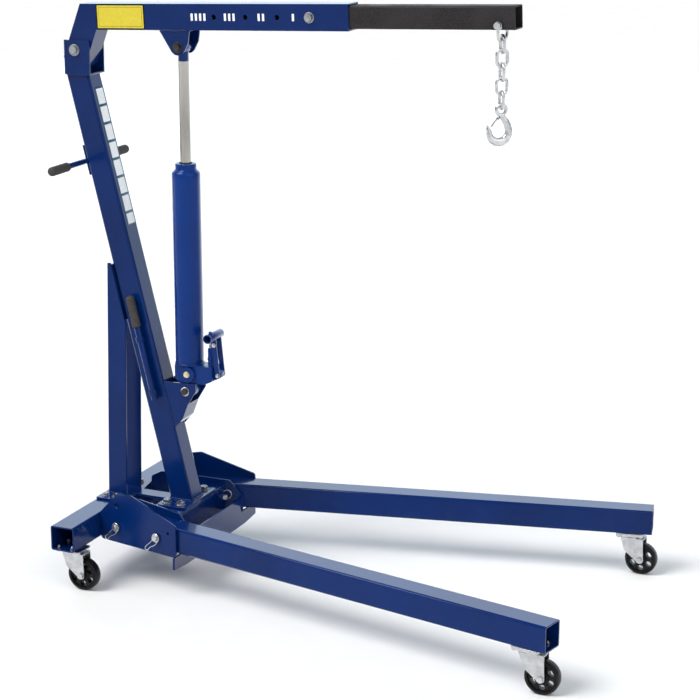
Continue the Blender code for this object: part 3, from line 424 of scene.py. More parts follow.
def swept(path, radii, side, section=16, closed=False, flatten=1.0):
    """Carries an oval along a path: point = p + r (n cos t + flatten b sin t).

    The normal n is square to the path and to the side, and b is square to both n and the path.
    """
    path = np.asarray(path, float)
    radii = np.broadcast_to(np.asarray(radii, float), (len(path),))
    if closed:
        tangent = np.roll(path, -1, axis=0) - np.roll(path, 1, axis=0)
    else:
        tangent = np.gradient(path, axis=0)
    tangent /= np.linalg.norm(tangent, axis=1, keepdims=True)
    normal = np.cross(np.broadcast_to(side, tangent.shape), tangent)
    normal /= np.linalg.norm(normal, axis=1, keepdims=True)
    binormal = np.cross(tangent, normal)
    t = np.linspace(0, 2 * pi, section, endpoint=False)
    across = normal[:, None] * np.cos(t)[None, :, None]
    across = across + flatten * binormal[:, None] * np.sin(t)[None, :, None]
    return grid_shell(path[:, None] + radii[:, None, None] * across, closed)


def hex_head(origin, axis, flats, height, spin=0.0, steps=48):
    """A six-sided head: at angle t its radius is half the flats over cos(t mod 60 - 30 degrees).

    The rim of its top is trimmed to a cone.
    """
    u, v = frame_round(axis)
    t = np.linspace(0, 2 * pi, steps, endpoint=False)
    six = (flats / 2) / np.cos((t % (pi / 3)) - pi / 6)
    round_rim = np.minimum(six, flats / 2 * 1.01)
    rows = [(six * 0.985, 0.0), (six, height * 0.06), (six, height * 0.78), (round_rim, height)]
    rows += [(round_rim * 0.55, height), (round_rim * 0.50, height * 0.94)]
    around = np.cos(t + spin)[:, None] * u + np.sin(t + spin)[:, None] * v
    points = np.array([np.asarray(origin) + unit(axis) * h + around * r[:, None] for r, h in rows])
    return grid_shell(points)


def washer(origin, axis, inner, outer, thickness):
    """A flat ring with softened rims."""
    soft = thickness * 0.25
    profile = [
        (inner, 0), (outer - soft, 0), (outer, soft),
        (outer, thickness - soft), (outer - soft, thickness), (inner, thickness),
    ]
    return turned(profile, origin, axis, 40, ring=True)


def bolt_stack(origin, axis, flats, height, spin=0.0):
    """A washer under a six-sided head."""
    axis = unit(axis)
    thick = height * 0.24
    return [
        washer(origin, axis, flats * 0.28, flats * 0.74, thick),
        hex_head(np.asarray(origin) + axis * thick, axis, flats, height, spin),
    ]


def panel(middle, across, along, half_width, half_length, thickness, corner, steps=8):
    """A thin plate: a rectangle with quarter circles for corners, raised along across x along."""
    across, along = unit(across), unit(along)
    out = np.cross(across, along)
    quarter = np.linspace(0, pi / 2, steps)
    outline = []
    for k, (sx, sy) in enumerate([(1, 1), (-1, 1), (-1, -1), (1, -1)]):
        t = quarter + k * pi / 2
        x = sx * (half_width - corner) + corner * np.cos(t)
        y = sy * (half_length - corner) + corner * np.sin(t)
        outline.append(np.stack([x, y], axis=1))
    outline = np.concatenate(outline)
    flat = outline[:, :1] * across + outline[:, 1:] * along
    soft = 1 - 0.25 * thickness / half_width
    rows = [flat, flat + out * thickness * 0.7, flat * soft + out * thickness]
    return grid_shell(np.asarray(middle) + np.array(rows))


def weld_bead(start, end, radius, pitch, seed):
    """A bead of overlapping puddles: radius r (1 + 0.16 |sin(pi s / pitch)|) with a slow seeded wander."""
    start, end = np.asarray(start, float), np.asarray(end, float)
    length = np.linalg.norm(end - start)
    count = max(8, int(length / pitch * 5))
    s = np.linspace(0, length, count)
    wander = np.random.default_rng(seed).uniform(0, 2 * pi, 2)
    path = start + (end - start) * (s / length)[:, None]
    side, lift = frame_round(end - start)
    path = path + side * (0.10 * radius * np.sin(s / 0.011 + wander[0]))[:, None]
    path = path + lift * (0.10 * radius * np.sin(s / 0.017 + wander[1]))[:, None]
    ends = np.clip(np.minimum(s, length - s) / (radius * 1.2), 0.15, 1.0) ** 0.5
    radii = radius * ends * (0.92 + 0.16 * np.abs(np.sin(pi * s / pitch)))
    return swept(path, radii, side, 10)


def add_piece(name, shells, material, body, replaces=(), sharp=38):
    """Joins shells into one mesh object that rides on a body."""
    offset, points, faces = 0, [], []
    for shell in shells:
        points.append(shell.points)
        faces += [[k + offset for k in face] for face in shell.faces]
        offset += len(shell.points)
    mesh = bpy.data.meshes.new(name)
    mesh.from_pydata(np.concatenate(points).tolist(), [], faces)
    mesh.materials.append(finish_named(material))
    mesh.shade_smooth()
    mesh.set_sharp_from_angle(angle=radians(sharp))
    piece = bpy.data.objects.new(name, mesh)
    bpy.context.scene.collection.objects.link(piece)
    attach(piece, body)
    if replaces:
        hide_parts(*replaces)
    return piece


def softened_copy(node, material, body, edge):
    """A copy of a node that stands for it: doubles merged, flat faces joined and sharp edges rounded."""
    body_mesh = bmesh.new()
    body_mesh.from_mesh(frame["nodes"][node].data)
    bmesh.ops.remove_doubles(body_mesh, verts=body_mesh.verts, dist=0.00001)
    bmesh.ops.dissolve_limit(
        body_mesh, angle_limit=radians(1), verts=body_mesh.verts, edges=body_mesh.edges,
        use_dissolve_boundaries=False,
    )
    for face in body_mesh.faces:
        face.smooth = face.calc_area() < FLAT_FACE * face.calc_perimeter()
    mesh = bpy.data.meshes.new(f"{node}_finished")
    body_mesh.to_mesh(mesh)
    body_mesh.free()
    mesh.materials.append(finish_named(material))
    piece = bpy.data.objects.new(f"{node}_finished", mesh)
    bpy.context.scene.collection.objects.link(piece)
    bevel = piece.modifiers.new("edge", "BEVEL")
    bevel.width = edge
    bevel.segments = 2
    bevel.limit_method = "ANGLE"
    bevel.angle_limit = radians(40)
    bevel.use_clamp_overlap = True
    bevel.harden_normals = True
    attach(piece, body)
    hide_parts(node)
    return piece


def mast_direction():
    """The mast's upward direction: its lean makes run = rise x tan(lean) + depth / cos(lean).

    Repeated substitution settles it.
    """
    run, rise = MAST_HIGH[0] - MAST_LOW[0], MAST_HIGH[2] - MAST_LOW[2]
    lean = 0.2
    for _ in range(30):
        lean = atan2(run - MAST_DEPTH / cos(lean), rise)
    return np.array([-sin(lean), 0.0, cos(lean)])


def mast_front(z):
    """The middle of the mast's front face at a height."""
    direction = mast_direction()
    return np.array([MAST_HIGH[0] + (z - MAST_LOW[2]) * direction[0] / direction[2], 0.0, z])


def body_of_node(node):
    bodies = frame["record"]["behaviour"]["bodies"]
    return next(name for name, nodes in bodies.items() if node in nodes)


def slot_of_node(node):
    return next(part["material_slot"] for part in frame["record"]["subparts"] if part["node"] == node)


# ---------------------------------------------------------------- operators
class HOIST_OT_finishes(bpy.types.Operator):
    """Makes the hoist's materials"""

    bl_idname = "hoist.finishes"
    bl_label = "Make finishes"

    def execute(self, context):
        paint = context.scene.hoist_paint
        paint_finish("blue_gloss", paint.blue, paint)
        paint_finish("weld_paint", shade(paint.blue, 0.92), paint)
        paint_finish("ram_gloss", paint.ram, paint)
        textured_finish("extension_coat", paint.extension)
        plated_finish("zinc_plate", (0.60, 0.61, 0.63), 0.24, 55.0)
        plated_finish("bolt_plate", (0.40, 0.41, 0.43), 0.24, 70.0)
        plated_finish("chain_plate", (0.66, 0.66, 0.67), 0.20, 90.0)
        plated_finish("yellow_zinc", (0.80, 0.74, 0.46), 0.28, 60.0)
        plated_finish("black_oxide", (0.075, 0.070, 0.068), 0.34, 60.0)
        plated_finish("dull_steel", (0.30, 0.30, 0.31), 0.34, 60.0)
        chrome_finish()
        moulded_finish("wheel_black", (0.005, 0.005, 0.0055), 0.26, 700.0, 0.22)
        moulded_finish("grip_rubber", (0.032, 0.029, 0.027), 0.62, 900.0)
        moulded_finish("seal_black", (0.008, 0.008, 0.008), 0.45, 900.0)
        printed_finish("plate_yellow", paint.yellow)
        printed_finish("plate_border", (0.004, 0.004, 0.006), shine=0.08)
        printed_finish("plate_line", shade(paint.yellow, 0.30))
        printed_finish("strip_teal", paint.teal)
        printed_finish("decal_white", (0.90, 0.92, 0.93))
        return {"FINISHED"}


class HOIST_OT_structure(bpy.types.Operator):
    """Gives every tube, plate and bracket its paint and rounded edges"""

    bl_idname = "hoist.structure"
    bl_label = "Finish structure"

    looks = {
        "blue": "blue_gloss", "extension": "extension_coat", "zinc": "zinc_plate",
        "chrome": "rod_chrome", "wheel": "wheel_black", "grip": "grip_rubber",
    }
    rebuilt = {
        "chain", "hook", "hook_latch", "shackle", "shackle_bolt", "ram_cylinder", "ram_rod",
        "boom_pivot_bolt", "extension_lock_bolt", "ram_foot_pin",
        "push_grip_right", "push_grip_left", "pump_handle_grip",
        "leg_pivot_pin_right", "leg_pivot_pin_left", "leg_lock_pin_right", "leg_lock_pin_left",
        "ram_top_bolt_right", "ram_top_bolt_left",
    }

    def execute(self, context):
        edge = context.scene.hoist_fittings.edge
        for node in sorted(frame["nodes"]):
            if node in self.rebuilt:
                continue
            slot, body = slot_of_node(node), body_of_node(node)
            look = "ram_gloss" if slot == "blue" and body in ("ram", "ram_rod") else self.looks[slot]
            softened_copy(node, look, body, edge)
        return {"FINISHED"}


class HOIST_OT_wheels(bpy.types.Operator):
    """Fits treads, bearings and mounting bolts to the four casters"""

    bl_idname = "hoist.wheels"
    bl_label = "Fit out casters"

    def execute(self, context):
        flats = context.scene.hoist_fittings.small_bolt
        for corner in CORNERS:
            low, high = box(f"wheel_{corner}")
            middle, radius = (low + high) / 2, (high[2] - low[2]) / 2
            half = (high[1] - low[1]) / 2
            fork, wheel = f"caster_fork_{corner}", f"caster_wheel_{corner}"
            ribs = []
            for side in (-1.0, 1.0):
                for reach, width in ((0.800, 0.0009), (0.355, 0.0008)):
                    level = half - (0.0024 if reach > 0.5 else 0.0005)
                    rib = np.array([[-1, -1], [1, -1], [0.7, 0.9], [-0.7, 0.9]])
                    profile = width * rib + [radius * reach, level]
                    ribs.append(turned(profile, middle, side * LEFT, 64, ring=True))
            add_piece(f"wheel_ribs_{corner}", ribs, "wheel_black", wheel)
            proud = half + 0.0005
            bushing = [(0.0056, -proud), (0.0090, -proud), (0.0090, proud), (0.0056, proud)]
            bush = turned(bushing, middle, LEFT, 32, ring=True)
            add_piece(f"wheel_bush_{corner}", [bush], "zinc_plate", wheel)
            pivot = np.array(joint(f"caster_swivel_{corner}")["pos_m"])
            race_top = box(fork)[1][2]
            crown = race_top - 0.0058
            seats = [(0.0278, 0.0), (0.0294, 0.0010), (0.0294, 0.0030), (0.0278, 0.0040), (0.0262, 0.0020)]
            rings = [turned(seats, [pivot[0], pivot[1], crown + 0.0006], UP, 56, ring=True)]
            king_pin = [(0.0060, 0.0), (0.0095, 0.0), (0.0088, -0.0035), (0.0050, -0.0040)]
            rings.append(turned(king_pin, [pivot[0], pivot[1], crown - 0.0030], UP, 24))
            add_piece(f"caster_race_{corner}", rings, "zinc_plate", fork)
            self.mounting_bolts(corner, pivot, flats)
        return {"FINISHED"}

    def mounting_bolts(self, corner, pivot, flats):
        """Four bolt heads below the fixed plate, and four nuts with stud ends on the tube's floor."""
        plate = f"caster_plate_{corner}"
        front = corner.startswith("front")
        turn = 0.0
        if front:
            axis = joint(f"leg_fold_{corner[6:]}")["axis"]
            turn = atan2(axis[0], -axis[1])
        below = box(plate)[0][2]
        heads = []
        for x, y in self.places(0.0305, 0.0245):
            at = [pivot[0] + x * cos(turn) - y * sin(turn), pivot[1] + x * sin(turn) + y * cos(turn), below]
            heads.append(hex_head(at, -UP, flats, 0.0034))
        add_piece(f"caster_bolts_{corner}", heads, "zinc_plate", body_of_node(plate))
        floor = box("leg_right" if front else "rear_cross_tube")[0][2] + TUBE_WALL
        across, along = (0.0215, 0.0360) if front else (0.0245, 0.0205)
        shift = 0.0 if front else centre("rear_cross_tube")[0] - pivot[0]
        nuts = []
        for x, y in self.places(along, across):
            ahead = pivot[0] + shift + x * cos(turn) - y * sin(turn)
            at = np.array([ahead, pivot[1] + x * sin(turn) + y * cos(turn), floor])
            nuts.append(hex_head(at, UP, flats, 0.0044))
            nuts.append(turned([(0.0029, 0.0), (0.0029, 0.0068), (0.0022, 0.0075)], at, UP, 20))
        add_piece(f"caster_nuts_{corner}", nuts, "zinc_plate", body_of_node(plate))

    def places(self, along, across):
        """The four corners of a rectangle, by half its length and half its width."""
        return [(x * along, y * across) for x in (-1.0, 1.0) for y in (-1.0, 1.0)]


class HOIST_OT_chain(bpy.types.Operator):
    """Hangs the shackle, links, hook and latch"""

    bl_idname = "hoist.chain"
    bl_label = "Hang chain and hook"

    wire = 0.0042
    link_half_length = 0.0254
    link_half_width = 0.0180
    count = 5
    turn = radians(40)

    def execute(self, context):
        self.hang = np.array(joint("chain_swing")["pos_m"])
        self.facing = np.array([cos(self.turn), sin(self.turn), 0.0])
        self.sideways = np.array([-sin(self.turn), cos(self.turn), 0.0])
        self.shackle()
        self.links()
        self.hook()
        return {"FINISHED"}

    def shackle(self):
        """A U of round bar: straight legs, quarter turns and a straight bow, with an eye on each leg."""
        pin = np.array(joint("shackle_swing")["pos_m"])
        bar = 0.004
        half = box("shackle")[1][1] - bar
        bend = 0.018
        t = np.linspace(0, pi / 2, 14)
        drop = pin[2] - self.hang[2]
        leg = np.linspace(0, drop - bend, 6)[:-1]
        y = np.concatenate([np.full(5, -half), -half + bend * (1 - np.cos(t))])
        z = np.concatenate([-leg, -(drop - bend) - bend * np.sin(t)])
        y, z = np.concatenate([y, -y[::-1]]), np.concatenate([z, z[::-1]])
        path = pin + np.stack([np.zeros_like(y), y, z], axis=1)
        shells = [swept(path, bar, FORWARD, 16)]
        for side in (-1.0, 1.0):
            eye = [
                (0.0060, -0.0036), (0.0096, -0.0040), (0.0108, -0.0022),
                (0.0108, 0.0022), (0.0096, 0.0040), (0.0060, 0.0036),
            ]
            shells.append(turned(eye, pin + LEFT * side * half, LEFT, 32, ring=True))
        add_piece("shackle_finished", shells, "chain_plate", "shackle", ["shackle"])
        outer = half + bar + 0.0004
        shank = [(0.0054, -outer - 0.001), (0.0054, outer + 0.001)]
        bolt = [turned(shank, pin, LEFT, 24), hex_head(pin - LEFT * outer, -LEFT, 0.0170, 0.0060)]
        bolt.append(hex_head(pin + LEFT * outer, LEFT, 0.0170, 0.0062))
        bolt.append(turned([(0.0050, 0.006), (0.0044, 0.0072)], pin + LEFT * outer, LEFT, 24))
        add_piece("shackle_bolt_finished", bolt, "zinc_plate", "extension", ["shackle_bolt"])

    def links(self):
        """Each link is a stadium: two half circles joined by straights. Alternate ones turn a quarter."""
        low, high = box("chain")
        pitch = (high[2] - low[2] - 2 * self.link_half_length) / (self.count - 1)
        bend = self.link_half_width - self.wire
        straight = self.link_half_length - self.link_half_width
        t = np.linspace(0, pi, 22)
        side = np.concatenate([bend * np.cos(t), -bend * np.cos(t)])
        up = np.concatenate([straight + bend * np.sin(t), -straight - bend * np.sin(t)])
        shells = []
        for k in range(self.count):
            across = self.sideways if k % 2 == 0 else self.facing
            normal = self.facing if k % 2 == 0 else self.sideways
            middle = np.array([self.hang[0], self.hang[1], high[2] - self.link_half_length - k * pitch])
            path = middle + side[:, None] * across + up[:, None] * UP
            shells.append(swept(path, self.wire, normal, 14, closed=True))
            seam = middle + across * bend
            shells.append(swept(seam + np.linspace(-0.0021, 0.0021, 7)[:, None] * UP,
                                self.wire * (1.0 + 0.09 * np.sin(np.linspace(0, pi, 7))), normal, 14))
        add_piece("chain_finished", shells, "chain_plate", "chain", ["chain"])

    def on_plane(self, x, z):
        """Places x along the hook's opening and height z in the turned plane of the hook."""
        return np.stack([self.hang[0] + x * self.facing[0], self.hang[1] + x * self.facing[1], z], axis=-1)

    def hook(self):
        """A ring over a bar that swells round its bowl, an arc between a slanting neck and a flared tip."""
        high = box("hook")[1]
        eye_bend, eye_wire = 0.0128, 0.0048
        eye_z = high[2] - eye_bend - eye_wire
        t = np.linspace(0, 2 * pi, 48, endpoint=False)
        ring = self.on_plane(eye_bend * np.cos(t), eye_z + eye_bend * np.sin(t))
        shells = [swept(ring, eye_wire, self.sideways, 16, closed=True, flatten=1.1)]
        bowl, bowl_x, bowl_z = 0.0260, -0.0050, -0.0550
        a = np.radians(np.linspace(25, -180, 40))
        tip_x = bowl_x - bowl - np.array([0.0016, 0.0030, 0.0042, 0.0050])
        tip_z = bowl_z + np.array([0.0045, 0.009, 0.0135, 0.018])
        x = np.concatenate([[-0.001, 0.005, 0.012, 0.0175], bowl_x + bowl * np.cos(a), tip_x])
        z = np.concatenate([[-0.013, -0.020, -0.029, -0.038], bowl_z + bowl * np.sin(a), tip_z])
        reach = np.concatenate([[0], np.cumsum(np.hypot(np.diff(x), np.diff(z)))])
        even = np.linspace(0, reach[-1], 72)
        x, z = np.interp(even, reach, x), np.interp(even, reach, z)
        s = even / reach[-1]
        stations = [0, 0.06, 0.15, 0.26, 0.55, 0.74, 0.87, 0.94, 0.985, 1]
        swell = [0.56, 0.66, 0.76, 0.82, 0.99, 0.86, 0.64, 0.46, 0.24, 0.12]
        radii = 0.0116 * np.interp(s, stations, swell)
        shells.append(swept(self.on_plane(x, eye_z + z), radii, self.sideways, 28, flatten=0.76))
        add_piece("hook_finished", shells, "chain_plate", "chain", ["hook"])
        latch_tip = self.on_plane(bowl_x - 0.0208, eye_z + bowl_z + 0.0125)
        self.latch(self.on_plane(-0.0085, eye_z - 0.0215), latch_tip)

    def latch(self, top, tip):
        """A tongue that bows outwards by a half sine, its cross pin and a spring wound as a helix."""
        s = np.linspace(0, 1, 18)[:, None]
        path = top + (tip - top) * s - self.facing * 0.0014 * np.sin(pi * s)
        tongue = swept(path, np.linspace(0.0017, 0.0013, 18), self.sideways, 16, flatten=3.2)
        turns = np.linspace(0, 2 * pi * 4, 80)
        coil = top + np.outer(np.cos(turns), self.facing) * 0.0030 + np.outer(np.sin(turns), UP) * 0.0030
        coil = coil + np.outer(turns / turns[-1] - 0.5, self.sideways) * 0.0070
        profile = [(0.0014, -0.0068), (0.0016, -0.0064), (0.0016, 0.0064), (0.0014, 0.0068)]
        pin = turned(profile, top, self.sideways, 16)
        shells = [tongue, pin, swept(coil, 0.0005, self.sideways, 8)]
        add_piece("hook_latch_finished", shells, "dull_steel", "chain", ["hook_latch"])


class HOIST_OT_ram(bpy.types.Operator):
    """Turns the hydraulic ram, its rod and its seals, and fits out the pump"""

    bl_idname = "hoist.ram"
    bl_label = "Build ram and pump"

    boss_level = 0.5640
    link_pins = ((0.094, 0.566), (0.0835, 0.652))
    yoke_place = (0.074, 0.655)
    valve_level = 0.563

    def execute(self, context):
        fittings = context.scene.hoist_fittings
        low, high = box("ram_cylinder")
        axis_point = np.array([(low[0] + high[0]) / 2, 0.0, 0.0])
        rod_low, rod_high = box("ram_rod")
        radius, rod = (high[0] - low[0]) / 2, (rod_high[0] - rod_low[0]) / 2
        collar, top, foot = 0.029, high[2], low[2]
        shoulder = top - 0.028
        bore = rod + 0.0008
        profile = [
            (bore, top - 0.030), (bore, top - 0.0005), (collar - 0.003, top),
            (collar - 0.0008, top - 0.0010), (collar, top - 0.003),
            (collar, shoulder + 0.0125), (collar + 0.0015, shoulder + 0.0105),
            (radius - 0.0042, shoulder + 0.0065),
            (radius - 0.0012, shoulder + 0.0030), (radius, shoulder - 0.0020), (radius, shoulder - 0.020),
            (radius, foot + 0.018), (radius, foot + 0.0040), (radius - 0.0012, foot + 0.0012),
            (radius - 0.003, foot), (0.010, foot),
        ]
        hollow = [(0.010, foot + 0.05), (bore, foot + 0.055)]
        barrel = turned(profile + hollow, axis_point, UP, 96, ring=True)
        add_piece("ram_cylinder_finished", [barrel], "ram_gloss", "ram", ["ram_cylinder"], sharp=32)
        t = np.linspace(0, 2 * pi, 180, endpoint=False)
        inset = radius - 0.001
        level = np.full(180, foot + 0.0010)
        ring = np.stack([axis_point[0] + inset * np.cos(t), inset * np.sin(t), level], axis=1)
        bead = swept(ring, fittings.weld * (0.9 + 0.12 * np.abs(np.sin(t * 42))), UP, 10, closed=True)
        add_piece("ram_foot_weld", [bead], "ram_gloss", "ram")
        seal = [
            (rod + 0.0002, top - 0.001), (rod + 0.0040, top - 0.001), (rod + 0.0036, top + 0.0014),
            (rod + 0.0014, top + 0.0030), (rod + 0.0002, top + 0.0026),
        ]
        add_piece("ram_wiper", [turned(seal, axis_point, UP, 56, ring=True)], "seal_black", "ram")
        stem = [
            (rod - 0.0012, rod_low[2]), (rod, rod_low[2] + 0.0012),
            (rod, rod_high[2] - 0.0004), (rod - 0.0004, rod_high[2]),
        ]
        stem = turned(stem, axis_point, UP, 64)
        add_piece("ram_rod_finished", [stem], "rod_chrome", "ram_rod", ["ram_rod"])
        plug = axis_point + np.array([-0.0065, -collar + 0.002, top - 0.009])
        filler = [hex_head(plug, -LEFT, 0.0085, 0.0055), washer(plug, -LEFT, 0.0030, 0.0058, 0.0026)]
        add_piece("ram_filler", filler, "ram_gloss", "ram")
        self.pump(axis_point[0])
        return {"FINISHED"}

    def pump(self, x):
        """The pump's boss bolt, plunger and gland, its link pins, handle socket lip and release valve."""
        low, high = box("pump_unit")
        boss = np.array([x + 0.006, low[1], self.boss_level])
        cap = [washer(boss, -LEFT, 0.0030, 0.0088, 0.0012)]
        cap.append(hex_head(boss - LEFT * 0.0010, -LEFT, 0.0130, 0.0046))
        add_piece("pump_boss_bolt", cap, "yellow_zinc", "ram")
        rim = [(0.0096, -0.0004), (0.0128, -0.0004), (0.0124, 0.0018), (0.0100, 0.0018)]
        add_piece("pump_boss_rim", [turned(rim, boss, LEFT, 56, ring=True)], "ram_gloss", "ram")
        barrel = np.array([x + 0.066, 0.0, high[2]])
        plunger = [(0.0046, -0.010), (0.0046, 0.026), (0.0040, 0.0268)]
        gland = [(0.0050, -0.001), (0.0080, -0.001), (0.0080, 0.0030), (0.0066, 0.0042), (0.0050, 0.0042)]
        add_piece("pump_plunger", [turned(plunger, barrel, UP, 28)], "rod_chrome", "ram")
        ring_low = [(0.0086, -0.0300), (0.0100, -0.0296), (0.0100, -0.0236), (0.0086, -0.0232)]
        glands = [turned(gland, barrel, UP, 28, ring=True), turned(ring_low, barrel, UP, 32, ring=True)]
        add_piece("pump_gland", glands, "ram_gloss", "ram")
        lever_low, lever_high = box("pump_lever")
        pins = []
        for ahead, z in self.link_pins:
            for side in (-1.0, 1.0):
                pins += bolt_stack([x + ahead, side * 0.0173, z], side * LEFT, 0.0085, 0.0034)
        ahead, z = self.yoke_place
        yoke = turned([(0.0036, -0.0165), (0.0036, 0.0165)], [x + ahead, 0.0, z], LEFT, 20)
        add_piece("pump_link_pins", pins + [yoke], "zinc_plate", "ram")
        lip = [(0.0096, -0.0004), (0.0124, -0.0004), (0.0128, 0.0020), (0.0124, 0.0042), (0.0096, 0.0044)]
        mouth = np.array([lever_low[0] + 0.0120, lever_low[1], lever_high[2] - 0.0120])
        screw = hex_head(mouth + np.array([0.0, 0.018, 0.0115]), UP, 0.0090, 0.0060)
        lip = turned(lip, mouth, LEFT, 40, ring=True)
        add_piece("pump_socket_lip", [lip, screw], "ram_gloss", "ram")
        valve = np.array([x + 0.030, high[1] - 0.002, self.valve_level])
        stem = [(0.0060, 0.0), (0.0060, 0.012), (0.0045, 0.013), (0.0045, 0.030), (0.0038, 0.031)]
        stem = turned(stem, valve, LEFT, 28)
        bar = swept(valve + LEFT * 0.026 + np.linspace(-0.016, 0.016, 9)[:, None] * UP, 0.0022, LEFT, 12)
        add_piece("release_valve", [stem, bar], "zinc_plate", "ram")


class HOIST_OT_bolts(bpy.types.Operator):
    """Fits the pivot bolt, lock bolt, ram bolts, foot bolts and brace bolts"""

    bl_idname = "hoist.bolts"
    bl_label = "Fit bolts"

    def execute(self, context):
        fittings = context.scene.hoist_fittings
        pivot = np.array(joint("boom_lift")["pos_m"])
        outer = box("mast_head")[1][1] + 0.0003
        shells = [turned([(0.0080, -outer - 0.001), (0.0080, outer + 0.001)], pivot, LEFT, 32)]
        shells += bolt_stack(pivot - LEFT * outer, -LEFT, 0.0215, 0.0072)
        shells += bolt_stack(pivot + LEFT * outer, LEFT, 0.0215, 0.0072, 0.3)
        node = "boom_pivot_bolt"
        add_piece(f"{node}_finished", shells, "bolt_plate", body_of_node(node), [node])

        lock = centre("extension_lock_bolt")
        face = np.array([lock[0], -BOOM_HALF - 0.0003, lock[2]])
        shank = turned([(0.0058, 0.0), (0.0058, 0.0024)], face, LEFT, 24)
        shells = bolt_stack(face, -LEFT, 0.0190, 0.0072, 0.2) + [shank]
        node = "extension_lock_bolt"
        add_piece(f"{node}_finished", shells, "bolt_plate", "boom", [node])
        for name, side in SIDES.items():
            at = centre(f"ram_top_bolt_{name}")
            face = np.array([at[0], side * (BOOM_HALF + 0.0003), at[2]])
            shells = bolt_stack(face, side * LEFT, 0.0190, 0.0066, 0.4)
            shells.append(turned([(0.0076, -0.0040), (0.0076, 0.0)], face, side * LEFT, 24))
            node = f"ram_top_bolt_{name}"
            add_piece(f"{node}_finished", shells, "black_oxide", "boom", [node])

        foot = np.array(joint("ram_tilt")["pos_m"])
        low, high = box("ram_lug")
        profile = [(0.0080, low[1] - 0.002), (0.0080, high[1] + 0.0075), (0.0072, high[1] + 0.0083)]
        pin = [turned(profile, foot, LEFT, 32)]
        pin.append(hex_head(foot + LEFT * (low[1] - 0.0018), -LEFT, 0.0175, 0.0066, 0.1))
        body = body_of_node("ram_foot_pin")
        add_piece("ram_foot_pin_finished", pin, "black_oxide", body, ["ram_foot_pin"])
        rings = [washer(foot + LEFT * (low[1] - 0.0003), -LEFT, 0.0075, 0.0128, 0.0018)]
        rings.append(washer(foot + LEFT * (high[1] + 0.0003), LEFT, 0.0082, 0.0128, 0.0018))
        add_piece("ram_foot_washers", rings, "zinc_plate", body)

        flange_low, flange_high = box("mast_foot")
        base = body_of_node("mast_foot")
        shells = []
        for x in (flange_low[0] + 0.020, flange_high[0] - 0.028):
            for y in (-0.070, 0.070):
                shells += bolt_stack([x, y, flange_high[2]], UP, fittings.foot_bolt, 0.0080, 0.3)
        add_piece("mast_foot_bolts", shells, "bolt_plate", base)
        plate_top = box("base_plate")[1][2]
        shells = []
        for y in (-0.072, 0.072):
            for x in (0.022, 0.054):
                shells += bolt_stack([REAR + x, y, plate_top], UP, 0.0150, 0.0065, 0.2)
        add_piece("brace_foot_bolts", shells, "bolt_plate", base)
        return {"FINISHED"}


